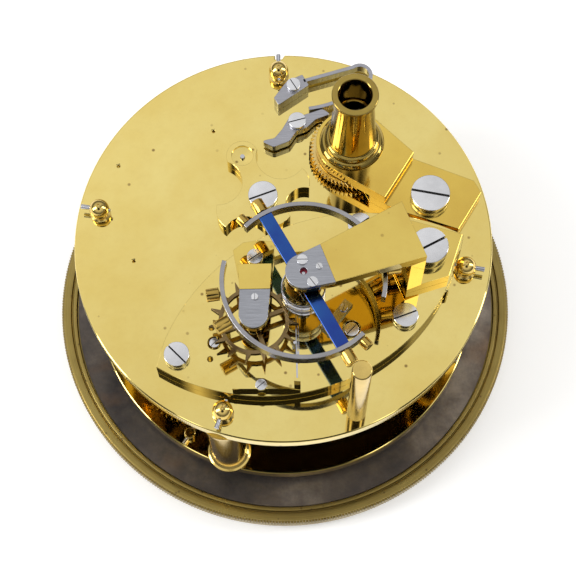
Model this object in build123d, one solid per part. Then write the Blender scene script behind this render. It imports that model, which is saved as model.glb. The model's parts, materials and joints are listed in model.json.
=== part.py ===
from build123d import *
from math import atan2, cos, degrees, hypot, pi, radians, sin
import os

os.makedirs("parts", exist_ok=True)

# Clearances
RUN = 0.05  # radial clearance of anything that turns in a hole
SNUG = 0.02  # radial clearance of a fixed pin, foot or screw
AIR = 0.3  # space between neighbours that must not touch

# Bezel, glass and dial, levels from the surface the bezel rests on
BEZEL_R = 50.0
BEZEL_H = 6.5
BEZEL_BAND_W = 2.1
GROOVE_W = 0.5
GROOVE_DEPTH = 0.7
LEDGE_W = 0.8
SEAT_W = 1.5
GLASS_Z = 0.8
GLASS_T = 1.4
GLASS_RING_W = 2.2
DIAL_Z = 4.9
DIAL_T = 0.8
DIAL_FOOT_R = 1.2
DIAL_FOOT_ANGLES = (237.5, 335.5, 103.0)
DIAL_FOOT_PITCH_R = 38.2
DIAL_PIN_R = 0.5
DIAL_PIN_L = 4.8

# Frame
PLATE_R = 42.0
PLATE_T = 2.8
PLATE_BEVEL = 0.35
PLATE_GAP = 27.1
PILLAR_PLATE_R = 41.0
PILLAR_PLATE_T = 3.0
MOTION_GAP = 4.6  # room for the motion work over the dial
PILLAR_R = 4.0
PILLAR_COLLAR_R = 4.5
PILLAR_COLLAR_H = 1.2
PILLAR_SPIGOT_R = 1.8
BALL_R = 2.0
BALL_LIFT = 2.2
BALL_NECK_R = 1.25
TAPER_PIN_R = 0.5
TAPER_PIN_L = 6.0
TAPER_PIN_OUT = 0.7  # how far the pin's middle stands outside the ball
PILLARS_AT = ((-0.3, 37.1), (-36.9, 6.5), (-12.2, -36.0), (36.1, -7.4))
NOTCH_W = 1.4
NOTCH_DEPTH = 0.8

# Places of the arbors in plan
BARREL_AT = (14.2, 18.6)
INTERMEDIATE_AT = (-8.0, 17.6)
CENTRE_AT = (0.0, 0.0)
THIRD_AT = (-17.0, 2.1)
FOURTH_AT = (-19.5, -13.0)
ESCAPE_AT = (-5.9, -19.6)
BALANCE_AT = (3.7, -15.1)
MINUTE_STUD_AT = (9.6, 0.0)

# Tooth counts: the driving wheel and the pinion it turns
BARREL_TEETH, INTERMEDIATE_LEAVES = 60, 15
INTERMEDIATE_TEETH, CENTRE_LEAVES = 56, 14
CENTRE_TEETH, THIRD_LEAVES = 64, 8
THIRD_TEETH, FOURTH_LEAVES = 60, 8
FOURTH_TEETH, ESCAPE_LEAVES = 64, 8
CANNON_LEAVES, MINUTE_TEETH = 12, 36
MINUTE_LEAVES, HOUR_TEETH = 10, 40
ESCAPE_TEETH = 15
RATCHET_TEETH = 60

# Train sizes
WHEEL_T = 1.1
PINION_OVER = 0.4  # how far a pinion is longer than its wheel, each side
ARBOR_R = 0.9
PIVOT_R = 0.45
BARREL_TOOTH_T = 2.0
BARREL_H = 16.6
BARREL_WALL = 1.2
BARREL_FLOOR_T = 1.2
BARREL_HUB_R = 4.2
BARREL_PIVOT_R = 2.2
SPRING_BAND_T = 0.8
SPRING_TURNS = 5

# Levels between the plates, from the top of the pillar plate
BARREL_LIFT = 1.2
CENTRE_WHEEL_LIFT = 19.4
THIRD_WHEEL_LIFT = 21.4
INTERMEDIATE_WHEEL_LIFT = 23.6
FOURTH_WHEEL_LIFT = 11.0

# Winding work on the top plate
RATCHET_R = 8.6
RATCHET_T = 1.8
RATCHET_LIFT = 0.8
BRIDGE_TOP = 6.0
BRIDGE_FOOT_T = 3.0
BRIDGE_END_R = 7.2
SQUARE = 3.2
SQUARE_TOP = 17.0
TUBE_H = 26.3
TUBE_BORE_R = 2.9
TUBE_GUIDE_R = 3.2
TUBE_GUIDE_L = 8.3
TUBE_FLANGE_R = 6.4
TUBE_FLANGE_T = 2.4
TUBE_FLANGE_SINK = 1.8
TUBE_BASE_R = 4.7
TUBE_NECK_R = 3.7
TUBE_LIP_R = 4.5
TUBE_LIP_T = 0.7
CLICK_AT = (3.3, 24.9)
CLICK_T = 2.0
CLICK_LIFT = 0.6
CLICK_SPRING_W = 0.8
CLICK_SPRING_SCREW_AT = (2.7, 33.3)

# Train cock, four lobes
TRAIN_COCK_T = 2.5
TRAIN_COCK_SCREW_AT = (-3.9, 8.2)
LOBE_R = 3.3
SINK_R = 2.2
SINK_DEPTH = 0.6

# Escapement plate and its screws
SUB_T = 3.3
SUB_TIP = (-24.9, -27.4)
SUB_LEFT = (-23.5, -22.3)
SUB_RIGHT = (35.9, -1.1)
SUB_SCREWS_AT = ((-20.9, -25.3), (23.5, -18.2), (15.3, 1.0))
SUB_SCREW_R = 2.45

# Escapement, levels from the top of the escapement plate
ESCAPE_R = 8.7
ESCAPE_RIM_W = 0.9
ESCAPE_WHEEL_LIFT = 2.9
ESCAPE_COCK_FOOT_T = 2.2
ESCAPE_COCK_TOP = 7.8
ESCAPE_COCK_T = 2.4
ESCAPE_END_T = 0.9
ESCAPE_NOSE_R = 2.8
DETENT_FOOT_T = 1.9
DETENT_BLADE_T = 0.3
DETENT_H = 1.7
DETENT_LIFT = 0.8
DETENT_X = 2.2
DETENT_ROOT_Y = -30.4
DETENT_TIP_Y = -17.4
LOCK_R = 0.3
IMPULSE_ROLLER_R = 1.6
DISCHARGE_ROLLER_R = 1.0

# Balance and its cock
BALANCE_TOP = 14.2
BALANCE_R = 15.3
RIM_T = 0.85
RIM_H = 2.7
BALANCE_ARM_W = 2.6
BALANCE_ARM_T = 0.9
BALANCE_ARM_ANGLE = 118.0
RIM_SWEEP = 133.0
RIM_STUB = 17.0
STAFF_R = 0.6
COCK_FOOT_T = 3.0
COCK_TOP = 18.2
COCK_ARM_T = 2.5
COCK_END_T = 1.1
COCK_NOSE_R = 3.4
RISER_T = 3.0
HAIR_R = 4.1
HAIR_WIRE = 0.4
HAIR_H = 5.2
HAIR_TURNS = 8
HAIR_LIFT = 5.2

STUD_BAR_AT = (10.2, -18.0)
STUD_BAR_ANGLE = 51.0
STUD_BAR_L = 7.6
STUD_BAR_W = 1.9
STUD_BAR_T = 1.0

# Resting post
POST_AT = (13.5, -36.2)
POST_R = 1.85
POST_H = 27.5

# Motion work and hands
CANNON_R = 1.25
HOUR_PIPE_R = 2.0
HAND_T = 0.3
HAND_GAP = 0.4
HOUR_HAND_L = 25.0
MINUTE_HAND_L = 38.0
SECONDS_HAND_L = 9.0

# Levels that follow from the sizes above
DIAL_TOP = DIAL_Z + DIAL_T
PILLAR_PLATE_Z = DIAL_TOP + MOTION_GAP
PILLAR_TOP = PILLAR_PLATE_Z + PILLAR_PLATE_T
PLATE_Z = PILLAR_TOP + PLATE_GAP
TOP = PLATE_Z + PLATE_T
SUB_TOP = TOP + SUB_T
BEZEL_IN_R = BEZEL_R - BEZEL_BAND_W - GROOVE_W - LEDGE_W
DIAL_R = BEZEL_IN_R - AIR
SEAT_R = BEZEL_IN_R - SEAT_W
BARREL_Z = PILLAR_TOP + BARREL_LIFT
BARREL_TOP = BARREL_Z + BARREL_H
CENTRE_WHEEL_Z = PILLAR_TOP + CENTRE_WHEEL_LIFT
THIRD_WHEEL_Z = PILLAR_TOP + THIRD_WHEEL_LIFT
INTERMEDIATE_WHEEL_Z = PILLAR_TOP + INTERMEDIATE_WHEEL_LIFT
FOURTH_WHEEL_Z = PILLAR_TOP + FOURTH_WHEEL_LIFT
RATCHET_Z = TOP + RATCHET_LIFT
ESCAPE_WHEEL_Z = SUB_TOP + ESCAPE_WHEEL_LIFT
LOCK_REACH = ESCAPE_R + LOCK_R + 0.08
BALANCE_Z = SUB_TOP + BALANCE_TOP


def span(a, b):
    return hypot(b[0] - a[0], b[1] - a[1])


def bearing(a, b):
    return degrees(atan2(b[1] - a[1], b[0] - a[0]))


def polar(at, r, angle):
    return (at[0] + r * cos(radians(angle)), at[1] + r * sin(radians(angle)))


def disc(r, z0, z1, at=(0, 0)):
    low = (Align.CENTER, Align.CENTER, Align.MIN)
    return Pos(at[0], at[1], z0) * Cylinder(r, z1 - z0, align=low)


def ring(r_out, r_in, z0, z1, at=(0, 0)):
    return disc(r_out, z0, z1, at) - disc(r_in, z0 - 1, z1 + 1, at)


def cone(r0, r1, z0, z1, at=(0, 0)):
    low = (Align.CENTER, Align.CENTER, Align.MIN)
    return Pos(at[0], at[1], z0) * Cone(r0, r1, z1 - z0, align=low)


def bar(length, width, z0, z1, at=(0, 0), angle=0.0):
    low = (Align.CENTER, Align.CENTER, Align.MIN)
    return Pos(at[0], at[1], z0) * Rot(0, 0, angle) * Box(length, width, z1 - z0, align=low)


def slab(points, z0, z1, soften=0.0):
    face = make_face(Polyline(*points, close=True))
    if soften:
        face = fillet(face.vertices(), soften)
    return Pos(0, 0, z0) * extrude(face, z1 - z0, dir=(0, 0, 1))


def outline(edges, z0, z1):
    return Pos(0, 0, z0) * extrude(make_face(edges), z1 - z0, dir=(0, 0, 1))


def turned(points, at=(0, 0)):
    # a turned piece from its half section, (radius, height) points
    face = make_face(Polyline(*[(r, 0, z) for r, z in points], close=True))
    return Pos(at[0], at[1], 0) * revolve(face, Axis.Z)


def across(r0, r1, length, at, z, angle):
    # a pin lying level along angle, from radius r0 to r1, centred on at
    pin = Cylinder(r0, length) if r0 == r1 else Cone(r0, r1, length)
    return Pos(at[0], at[1], z) * Rot(0, 0, angle) * Rot(0, 90, 0) * pin


def group(solids):
    return Compound(children=list(solids))


def toothed(teeth, r_tip, r_root, z0, z1, at, tooth_at, tip=0.24, root=0.58):
    # a flat-faced toothed disc, one tooth pointing along tooth_at
    pitch = 360.0 / teeth
    points = []
    for k in range(teeth):
        a = tooth_at + k * pitch
        for r, share in ((r_root, -root), (r_tip, -tip), (r_tip, tip), (r_root, root)):
            points.append(polar(at, r, a + share * pitch / 2))
    return slab(points, z0, z1)


def module(wheel_teeth, leaves, a, b):
    return 2 * span(a, b) / (wheel_teeth + leaves)


def wheel_radius(teeth, leaves, a, b):
    return module(teeth, leaves, a, b) * teeth / 2


def crossed(blank, r_rim, r_hub, arms, arm_w, z0, z1, at, first=0.0):
    # cuts the openings between the arms of a wheel
    opening = ring(r_rim, r_hub, z0 - 1, z1 + 1, at)
    for k in range(arms):
        a = first + 360.0 * k / arms
        middle = polar(at, (r_rim + r_hub) / 2, a)
        opening -= bar(r_rim - r_hub + 4, arm_w, z0 - 2, z1 + 2, middle, a)
    return blank - opening


def train_wheel(teeth, leaves, at, to, z, bore, thick=WHEEL_T):
    m = module(teeth, leaves, at, to)
    r = m * teeth / 2
    blank = toothed(teeth, r + 0.75 * m, r - 1.0 * m, z, z + thick, at, bearing(at, to))
    blank = crossed(blank, r - 3.0 * m, 3.2 * ARBOR_R, 4, 1.9 * ARBOR_R, z, z + thick, at, 45)
    return blank - disc(bore + SNUG, z - 1, z + thick + 1, at)


def pinion(teeth, leaves, driver_at, at, z, thick=WHEEL_T):
    # leaves lie a gap towards the wheel that turns them
    m = module(teeth, leaves, driver_at, at)
    r = m * leaves / 2
    gap = bearing(at, driver_at) + 180.0 / leaves
    low = z - PINION_OVER
    return toothed(leaves, r + 0.75 * m, r - 1.1 * m, low, z + thick + PINION_OVER, at, gap, 0.18, 0.5)


def arbor(at, z0, z1, body_z0, body_z1, r=ARBOR_R, pivot=PIVOT_R):
    shaft = disc(pivot, z0, z1, at)
    return shaft + disc(r, body_z0, body_z1, at)


def screw(r, head_h, z, depth, at, slot_angle, shank=0.45):
    # cheese-head screw, the underside of its head at z
    head = disc(r, z, z + head_h, at)
    head = chamfer(head.edges().group_by(Axis.Z)[-1], 0.06 * r)
    head -= bar(3 * r, 0.16 * r, z + 0.6 * head_h, z + head_h + 1, at, slot_angle)
    return head + disc(shank * r, z - depth, z, at)


def screw_hole(r, z, depth, at, shank=0.45):
    return disc(shank * r + SNUG, z - depth, z + 1, at)


# Screws, as head radius, head height, seat, depth, place, slot
SUB_SCREW_HEAD = 1.7
SUB_SCREW_DEPTH = SUB_T + 1.8
SUB_SCREW_SLOTS = (-46.0, 20.0, 35.0)
BRIDGE_SCREW = (3.9, 2.1, TOP + BRIDGE_FOOT_T, BRIDGE_FOOT_T + 2.0, (29.6, 7.4), -12.0)
TRAIN_SCREW = (2.95, 1.6, TOP + TRAIN_COCK_T, TRAIN_COCK_T + 2.0, TRAIN_COCK_SCREW_AT, -20.0)
CLICK_SCREW = (1.8, 0.9, TOP + CLICK_LIFT + CLICK_T + RUN, 0.0, CLICK_AT, 25.0)
CLICK_SPRING_SCREW = (1.45, 0.8, TOP + CLICK_LIFT + CLICK_T, CLICK_LIFT + CLICK_T + 1.8, CLICK_SPRING_SCREW_AT, 40.0)
ESCAPE_FOOT_SCREW = (1.55, 0.9, SUB_TOP + ESCAPE_COCK_FOOT_T, ESCAPE_COCK_FOOT_T + 1.8, (-5.6, -6.0), 35.0)
ESCAPE_END_SCREW = (0.65, 0.3, SUB_TOP + ESCAPE_COCK_TOP, ESCAPE_END_T + 0.8, (-5.6, -16.2), 90.0)
DETENT_SCREW = (1.1, 0.6, SUB_TOP + DETENT_FOOT_T, DETENT_FOOT_T + 1.2, (-4.7, -32.0), 20.0)
SINK_SCREW = (1.4, 0.5, SUB_TOP - 0.5, 1.6, (13.0, -20.4), 45.0)
PILOT_SCREW = (0.95, 0.5, SUB_TOP - 0.3, 1.6, (-13.7, -22.7), 45.0)
STUD_SCREW = (0.8, 0.4, SUB_TOP + STUD_BAR_T, STUD_BAR_T + 1.2, (11.5, -16.4), 70.0)
COCK_SCREW = (3.7, 3.2, SUB_TOP + COCK_FOOT_T, COCK_FOOT_T + 1.8, (28.4, -5.6), 27.0)
COCK_END_SCREWS = (
    (1.0, 0.35, SUB_TOP + COCK_TOP, COCK_END_T + 0.8, (3.5, -12.9), 0.0),
    (1.0, 0.35, SUB_TOP + COCK_TOP, COCK_END_T + 0.8, (5.3, -17.3), -55.0),
    (0.6, 0.25, SUB_TOP + COCK_TOP, COCK_END_T + 0.8, (6.6, -14.2), -60.0),
)


def bezel_ring():
    band_r = BEZEL_R - BEZEL_BAND_W
    groove_r = band_r - GROOVE_W
    glass_r = SEAT_R - 0.6
    step = 0.4
    section = (
        (glass_r - 1.6, GLASS_Z + GLASS_T), (glass_r + SNUG, GLASS_Z + GLASS_T), (glass_r + SNUG, 0),
        (BEZEL_R - 1.2, 0), (BEZEL_R - step, 0.8), (BEZEL_R - step, 2.8), (BEZEL_R, 2.8 + step),
        (BEZEL_R, BEZEL_H - 0.6), (BEZEL_R - 0.3, BEZEL_H), (band_r, BEZEL_H),
        (band_r, BEZEL_H - GROOVE_DEPTH), (groove_r, BEZEL_H - GROOVE_DEPTH), (groove_r, BEZEL_H - 0.2),
        (BEZEL_IN_R, BEZEL_H - 0.2), (BEZEL_IN_R, DIAL_Z), (SEAT_R, DIAL_Z), (glass_r - 1.6, DIAL_Z - 1.2),
    )
    return turned(section)


def bezel_glass():
    return disc(SEAT_R - 0.6, GLASS_Z, GLASS_Z + GLASS_T)


def glass_ring():
    r = SEAT_R - 0.6
    section = ((r - GLASS_RING_W, GLASS_Z), (r - GLASS_RING_W + 0.5, 0.2), (r, 0.2), (r, GLASS_Z))
    return turned(section)


def dial_feet():
    return [polar((0, 0), DIAL_FOOT_PITCH_R, a) for a in DIAL_FOOT_ANGLES]


DIAL_PIN_Z = PILLAR_TOP + DIAL_PIN_R + 0.1


def dial():
    plate = disc(DIAL_R, DIAL_Z, DIAL_TOP)
    plate -= disc(HOUR_PIPE_R + AIR, DIAL_Z - 1, DIAL_TOP + 1)
    plate -= disc(PIVOT_R + AIR, DIAL_Z - 1, DIAL_TOP + 1, FOURTH_AT)
    for at, a in zip(dial_feet(), DIAL_FOOT_ANGLES):
        foot = disc(DIAL_FOOT_R, DIAL_TOP, DIAL_PIN_Z + 1.4, at)
        foot -= across(DIAL_PIN_R + SNUG, 0.8 * DIAL_PIN_R + SNUG, DIAL_PIN_L + 1, at, DIAL_PIN_Z, a + 180)
        plate += foot
    return plate


def dial_foot_pins():
    pins = []
    for at, a in zip(dial_feet(), DIAL_FOOT_ANGLES):
        pins.append(across(DIAL_PIN_R, 0.8 * DIAL_PIN_R, DIAL_PIN_L, at, DIAL_PIN_Z, a + 180))
    return group(pins)


def pillar_plate():
    plate = disc(PILLAR_PLATE_R, PILLAR_PLATE_Z, PILLAR_TOP)
    plate = chamfer(plate.edges(), PLATE_BEVEL)
    for at in PILLARS_AT:
        plate -= disc(PILLAR_SPIGOT_R + SNUG, PILLAR_PLATE_Z - 1, PILLAR_TOP + 1, at)
    for at in dial_feet():
        plate -= disc(DIAL_FOOT_R + SNUG, PILLAR_PLATE_Z - 1, PILLAR_TOP + 1, at)
    plate -= disc(BARREL_PIVOT_R + RUN, PILLAR_PLATE_Z + 1, PILLAR_TOP + 1, BARREL_AT)
    plate -= disc(ARBOR_R + RUN, PILLAR_PLATE_Z - 1, PILLAR_TOP + 1, CENTRE_AT)
    plate -= disc(PIVOT_R + RUN, PILLAR_PLATE_Z - 1, PILLAR_TOP + 1, FOURTH_AT)
    for at in (INTERMEDIATE_AT, THIRD_AT, ESCAPE_AT):
        plate -= disc(PIVOT_R + RUN, PILLAR_PLATE_Z + 1, PILLAR_TOP + 1, at)
    return plate + disc(ARBOR_R, PILLAR_PLATE_Z - 3.9, PILLAR_PLATE_Z, MINUTE_STUD_AT)


def pillars():
    collar = PILLAR_COLLAR_H
    section = (
        (0, PILLAR_PLATE_Z + 0.4), (PILLAR_SPIGOT_R, PILLAR_PLATE_Z + 0.4), (PILLAR_SPIGOT_R, PILLAR_TOP),
        (PILLAR_COLLAR_R, PILLAR_TOP), (PILLAR_COLLAR_R, PILLAR_TOP + collar), (PILLAR_R, PILLAR_TOP + collar + 0.6),
        (PILLAR_R, PLATE_Z - collar - 0.6), (PILLAR_COLLAR_R, PLATE_Z - collar), (PILLAR_COLLAR_R, PLATE_Z),
        (PILLAR_SPIGOT_R, PLATE_Z), (PILLAR_SPIGOT_R, TOP), (BALL_NECK_R, TOP), (BALL_NECK_R, TOP + BALL_LIFT),
        (0, TOP + BALL_LIFT),
    )
    solids = []
    for at in PILLARS_AT:
        pillar = turned(section, at) + Pos(at[0], at[1], TOP + BALL_LIFT) * Sphere(BALL_R)
        solids.append(pillar - taper_pin(at, SNUG))
    return group(solids)


def taper_pin(at, play=0.0):
    inward = bearing(at, (0, 0))
    middle = polar(at, TAPER_PIN_OUT, inward + 180)
    return across(TAPER_PIN_R + play, 0.7 * TAPER_PIN_R + play, TAPER_PIN_L, middle, TOP + BALL_LIFT, inward)


def pillar_taper_pins():
    return group([taper_pin(at) for at in PILLARS_AT])


def top_plate():
    plate = disc(PLATE_R, PLATE_Z, TOP)
    plate = chamfer(plate.edges(), PLATE_BEVEL)
    plate -= bar(NOTCH_W, 2 * NOTCH_DEPTH, PLATE_Z - 1, TOP + 1, (PILLARS_AT[0][0], PLATE_R))
    for at in PILLARS_AT:
        plate -= disc(PILLAR_SPIGOT_R + SNUG, PLATE_Z - 1, TOP + 1, at)
    plate -= disc(BARREL_PIVOT_R + RUN, PLATE_Z - 1, TOP + 1, BARREL_AT)
    for at in (CENTRE_AT, THIRD_AT, FOURTH_AT):
        plate -= disc(PIVOT_R + RUN, PLATE_Z - 1, TOP + 1, at)
    plate -= disc(ARBOR_R + AIR, PLATE_Z - 1, TOP + 1, INTERMEDIATE_AT)
    plate -= disc(escape_pinion_r() + AIR, PLATE_Z - 1, TOP + 1, ESCAPE_AT)
    plate -= disc(POST_R * 0.5 + SNUG, PLATE_Z + 0.6, TOP + 1, POST_AT)
    for at in SUB_SCREWS_AT:
        plate -= screw_hole(SUB_SCREW_R, SUB_TOP, SUB_SCREW_DEPTH, at)
    for r, head_h, z, depth, at, slot in (BRIDGE_SCREW, TRAIN_SCREW, CLICK_SPRING_SCREW):
        plate -= screw_hole(r, z, depth, at)
    return plate - disc(0.45 * CLICK_SCREW[0] + SNUG, TOP - 1.8, TOP + 1, CLICK_AT)


def escape_pinion_r():
    m = module(FOURTH_TEETH, ESCAPE_LEAVES, FOURTH_AT, ESCAPE_AT)
    return m * ESCAPE_LEAVES / 2 + 0.75 * m


def barrel_tip_r():
    m = module(BARREL_TEETH, INTERMEDIATE_LEAVES, BARREL_AT, INTERMEDIATE_AT)
    return m * BARREL_TEETH / 2 + 0.75 * m


def barrel_drum_r():
    m = module(BARREL_TEETH, INTERMEDIATE_LEAVES, BARREL_AT, INTERMEDIATE_AT)
    return m * BARREL_TEETH / 2 - 1.6 * m


def barrel():
    m = module(BARREL_TEETH, INTERMEDIATE_LEAVES, BARREL_AT, INTERMEDIATE_AT)
    r = m * BARREL_TEETH / 2
    z = BARREL_Z
    aim = bearing(BARREL_AT, INTERMEDIATE_AT)
    body = toothed(BARREL_TEETH, r + 0.75 * m, r - m, z, z + BARREL_TOOTH_T, BARREL_AT, aim)
    body += disc(barrel_drum_r(), z + BARREL_TOOTH_T, BARREL_TOP, BARREL_AT)
    body -= disc(barrel_drum_r() - BARREL_WALL, z + BARREL_FLOOR_T, BARREL_TOP + 1, BARREL_AT)
    return body - disc(BARREL_PIVOT_R + RUN, z - 1, z + BARREL_FLOOR_T + 1, BARREL_AT)


def barrel_cover():
    r = barrel_drum_r() - BARREL_WALL
    return ring(r - SNUG, BARREL_PIVOT_R + RUN, BARREL_TOP - 1.0, BARREL_TOP, BARREL_AT)


def mainspring():
    # a flat band coiled inside the barrel, in half turns that step outwards
    r_wall = barrel_drum_r() - BARREL_WALL - AIR
    r_in = BARREL_HUB_R + AIR
    step = (r_wall - SPRING_BAND_T - r_in) / (2 * SPRING_TURNS)
    band = None
    for k in range(2 * SPRING_TURNS):
        r = r_in + SPRING_BAND_T / 2 + k * step + step / 2
        side = 1 if k % 2 == 0 else -1
        c = (BARREL_AT[0] + side * step / 2, BARREL_AT[1])
        half = CenterArc(c, r, 0 if side > 0 else 180, 180)
        band = half if band is None else band + half
    z = BARREL_Z + BARREL_FLOOR_T + AIR
    tape = trace(band, SPRING_BAND_T)
    return Pos(0, 0, z) * extrude(tape, BARREL_TOP - 1.0 - AIR - z, dir=(0, 0, 1))


def barrel_arbor():
    low = PILLAR_PLATE_Z + 1.2
    body = disc(BARREL_PIVOT_R, low, RATCHET_Z, BARREL_AT)
    body += disc(BARREL_HUB_R, BARREL_Z + BARREL_FLOOR_T + RUN, BARREL_TOP - 1.0 - RUN, BARREL_AT)
    square = bar(SQUARE, SQUARE, RATCHET_Z, TOP + SQUARE_TOP, BARREL_AT)
    return body + square


def ratchet_wheel():
    points = []
    for k in range(RATCHET_TEETH):
        a = 360.0 * k / RATCHET_TEETH
        points.append(polar(BARREL_AT, RATCHET_R, a))
        points.append(polar(BARREL_AT, RATCHET_R - 0.75, a + 0.6))
    wheel = slab(points, RATCHET_Z, RATCHET_Z + RATCHET_T)
    return wheel - bar(SQUARE + SNUG, SQUARE + SNUG, RATCHET_Z - 1, RATCHET_Z + 5, BARREL_AT)


BRIDGE_BLOCK = ((20.4, 6.2), (26.6, 16.0), (16.3, 22.5), (10.2, 12.6))
BRIDGE_FOOT = ((20.4, 6.2), (22.4, 4.9), (35.0, 0.3), (40.0, 8.2), (38.7, 10.8), (26.6, 16.0))


def winding_bridge():
    block = slab(BRIDGE_BLOCK, TOP, TOP + BRIDGE_TOP) + disc(BRIDGE_END_R, TOP, TOP + BRIDGE_TOP, BARREL_AT)
    block -= disc(RATCHET_R + AIR, TOP - 1, RATCHET_Z + RATCHET_T + AIR, BARREL_AT)
    block += slab(BRIDGE_FOOT, TOP, TOP + BRIDGE_FOOT_T)
    block -= disc(TUBE_FLANGE_R + SNUG, TOP + BRIDGE_TOP - TUBE_FLANGE_SINK, TOP + 20, BARREL_AT)
    block -= disc(TUBE_BORE_R, TOP - 1, TOP + 20, BARREL_AT)
    r, head_h, z, depth, at, slot = BRIDGE_SCREW
    return block - screw_hole(r, z, depth, at)


def winding_tube():
    base = TOP + BRIDGE_TOP - TUBE_FLANGE_SINK
    flange = base + TUBE_FLANGE_T
    top = TOP + TUBE_H
    guide = top - TUBE_GUIDE_L
    section = (
        (TUBE_BORE_R, base), (TUBE_FLANGE_R, base), (TUBE_FLANGE_R, flange), (TUBE_FLANGE_R - 0.5, flange + 0.3),
        (TUBE_BASE_R + 0.8, flange + 0.3), (TUBE_BASE_R + 0.8, flange + 1.1), (TUBE_BASE_R + 0.3, flange + 1.6),
        (TUBE_BASE_R, flange + 1.6), (TUBE_NECK_R, top - TUBE_LIP_T - 0.5), (TUBE_LIP_R, top - TUBE_LIP_T),
        (TUBE_LIP_R, top - 0.15), (TUBE_LIP_R - 0.15, top), (TUBE_GUIDE_R, top), (TUBE_GUIDE_R, guide),
        (TUBE_BORE_R, guide),
    )
    return turned(section, BARREL_AT)


CLICK_OUTLINE = (
    (-4.3, 20.8), (-1.4, 21.4), (0.2, 23.4), (1.6, 25.9), (4.2, 26.4), (6.0, 27.0), (8.6, 27.9), (10.3, 26.6),
    (7.1, 25.4), (5.3, 23.6), (3.2, 22.9), (1.7, 20.6), (-1.6, 19.3),
)


def click():
    z = TOP + CLICK_LIFT
    body = slab(CLICK_OUTLINE, z, z + CLICK_T, 0.4)
    body += disc(2.2, z, z + CLICK_T, CLICK_AT)
    return body - disc(0.45 * CLICK_SCREW[0] + RUN, z - 1, z + CLICK_T + 1, CLICK_AT)


def click_screws():
    r, head_h, z, depth, at, slot = CLICK_SCREW
    pivot = screw(r, head_h, z, z - TOP, at, slot)
    pivot += disc(1.2 * r, TOP, TOP + CLICK_LIFT - RUN, at)
    pivot += disc(0.45 * r, TOP - 1.6, TOP, at)
    return group([pivot, screw(*CLICK_SPRING_SCREW)])


def click_spring():
    z = TOP + CLICK_LIFT
    foot = slab(((-1.4, 30.6), (1.3, 34.4), (4.6, 35.9), (5.9, 33.4), (-0.5, 28.9)), TOP, z + CLICK_T)
    outer = Line((4.8, 34.4), (15.2, 37.4))
    bend = ThreePointArc((15.2, 37.4), (18.4, 36.9), (18.2, 34.0))
    inner = ThreePointArc((18.2, 34.0), (12.4, 29.9), (5.8, 28.0))
    blade = extrude(trace(outer + bend + inner, CLICK_SPRING_W), CLICK_T, dir=(0, 0, 1))
    spring = foot + Pos(0, 0, z) * blade
    r, head_h, zs, depth, at, slot = CLICK_SPRING_SCREW
    return spring - screw_hole(r, zs, depth, at)


def train_cock():
    c = TRAIN_COCK_SCREW_AT
    aim = bearing(c, INTERMEDIATE_AT)
    n = INTERMEDIATE_AT
    lobes = (
        ((5.4, 10.1), (5.4, 12.6), (4.1, 14.6)),
        (polar(n, LOBE_R, aim - 90), polar(n, LOBE_R, aim), polar(n, LOBE_R, aim + 90)),
        ((-13.2, 6.8), (-13.1, 4.2), (-11.4, 1.9)),
        ((-3.6, 2.0), (-0.9, 2.2), (1.5, 4.1)),
    )
    edges = []
    for k, (a, m, b) in enumerate(lobes):
        edges.append(ThreePointArc(a, m, b))
        nxt = lobes[(k + 1) % len(lobes)]
        mid = (bearing(c, m) + (bearing(c, nxt[1]) - bearing(c, m)) % 360 / 2)
        edges.append(ThreePointArc(b, polar(c, 4.8, mid), nxt[0]))
    cock = outline(edges, TOP, TOP + TRAIN_COCK_T)
    top = TOP + TRAIN_COCK_T
    cock -= disc(SINK_R, top - SINK_DEPTH, top + 1, n)
    cock -= disc(PIVOT_R + RUN, TOP - 1, top + 1, n)
    cock -= disc(ARBOR_R + AIR, TOP - 1, TOP + 0.8, n)
    r, head_h, z, depth, at, slot = TRAIN_SCREW
    return cock - screw_hole(r, z, depth, at)


def plate_screws():
    return group([screw(*BRIDGE_SCREW), screw(*TRAIN_SCREW)])


def resting_post():
    post = disc(POST_R, TOP, TOP + POST_H, POST_AT)
    post = chamfer(post.edges().group_by(Axis.Z)[-1], 0.15)
    return post + disc(POST_R * 0.5, PLATE_Z + 0.7, TOP, POST_AT)


def intermediate_arbor():
    top = TOP + TRAIN_COCK_T - SINK_DEPTH + 0.3
    wheel_z = BARREL_Z + (BARREL_TOOTH_T - WHEEL_T) / 2
    shaft = arbor(INTERMEDIATE_AT, PILLAR_PLATE_Z + 1.2, top, PILLAR_TOP + RUN, TOP + 0.6)
    return shaft + pinion(BARREL_TEETH, INTERMEDIATE_LEAVES, BARREL_AT, INTERMEDIATE_AT, wheel_z, WHEEL_T)


def intermediate_wheel():
    return train_wheel(INTERMEDIATE_TEETH, CENTRE_LEAVES, INTERMEDIATE_AT, CENTRE_AT, INTERMEDIATE_WHEEL_Z, ARBOR_R)


def centre_arbor():
    low = DIAL_Z - 3 * HAND_T - 2 * HAND_GAP - 0.3
    shaft = disc(ARBOR_R - 0.1, low, PILLAR_TOP + 1, CENTRE_AT)
    shaft += arbor(CENTRE_AT, PILLAR_TOP, TOP, PILLAR_TOP + RUN, PLATE_Z - RUN, ARBOR_R + 0.1)
    return shaft + pinion(INTERMEDIATE_TEETH, CENTRE_LEAVES, INTERMEDIATE_AT, CENTRE_AT, INTERMEDIATE_WHEEL_Z)


def centre_wheel():
    return train_wheel(CENTRE_TEETH, THIRD_LEAVES, CENTRE_AT, THIRD_AT, CENTRE_WHEEL_Z, ARBOR_R + 0.1)


def third_arbor():
    shaft = arbor(THIRD_AT, PILLAR_PLATE_Z + 1.2, TOP - 0.3, PILLAR_TOP + RUN, PLATE_Z - RUN)
    return shaft + pinion(CENTRE_TEETH, THIRD_LEAVES, CENTRE_AT, THIRD_AT, CENTRE_WHEEL_Z)


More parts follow.
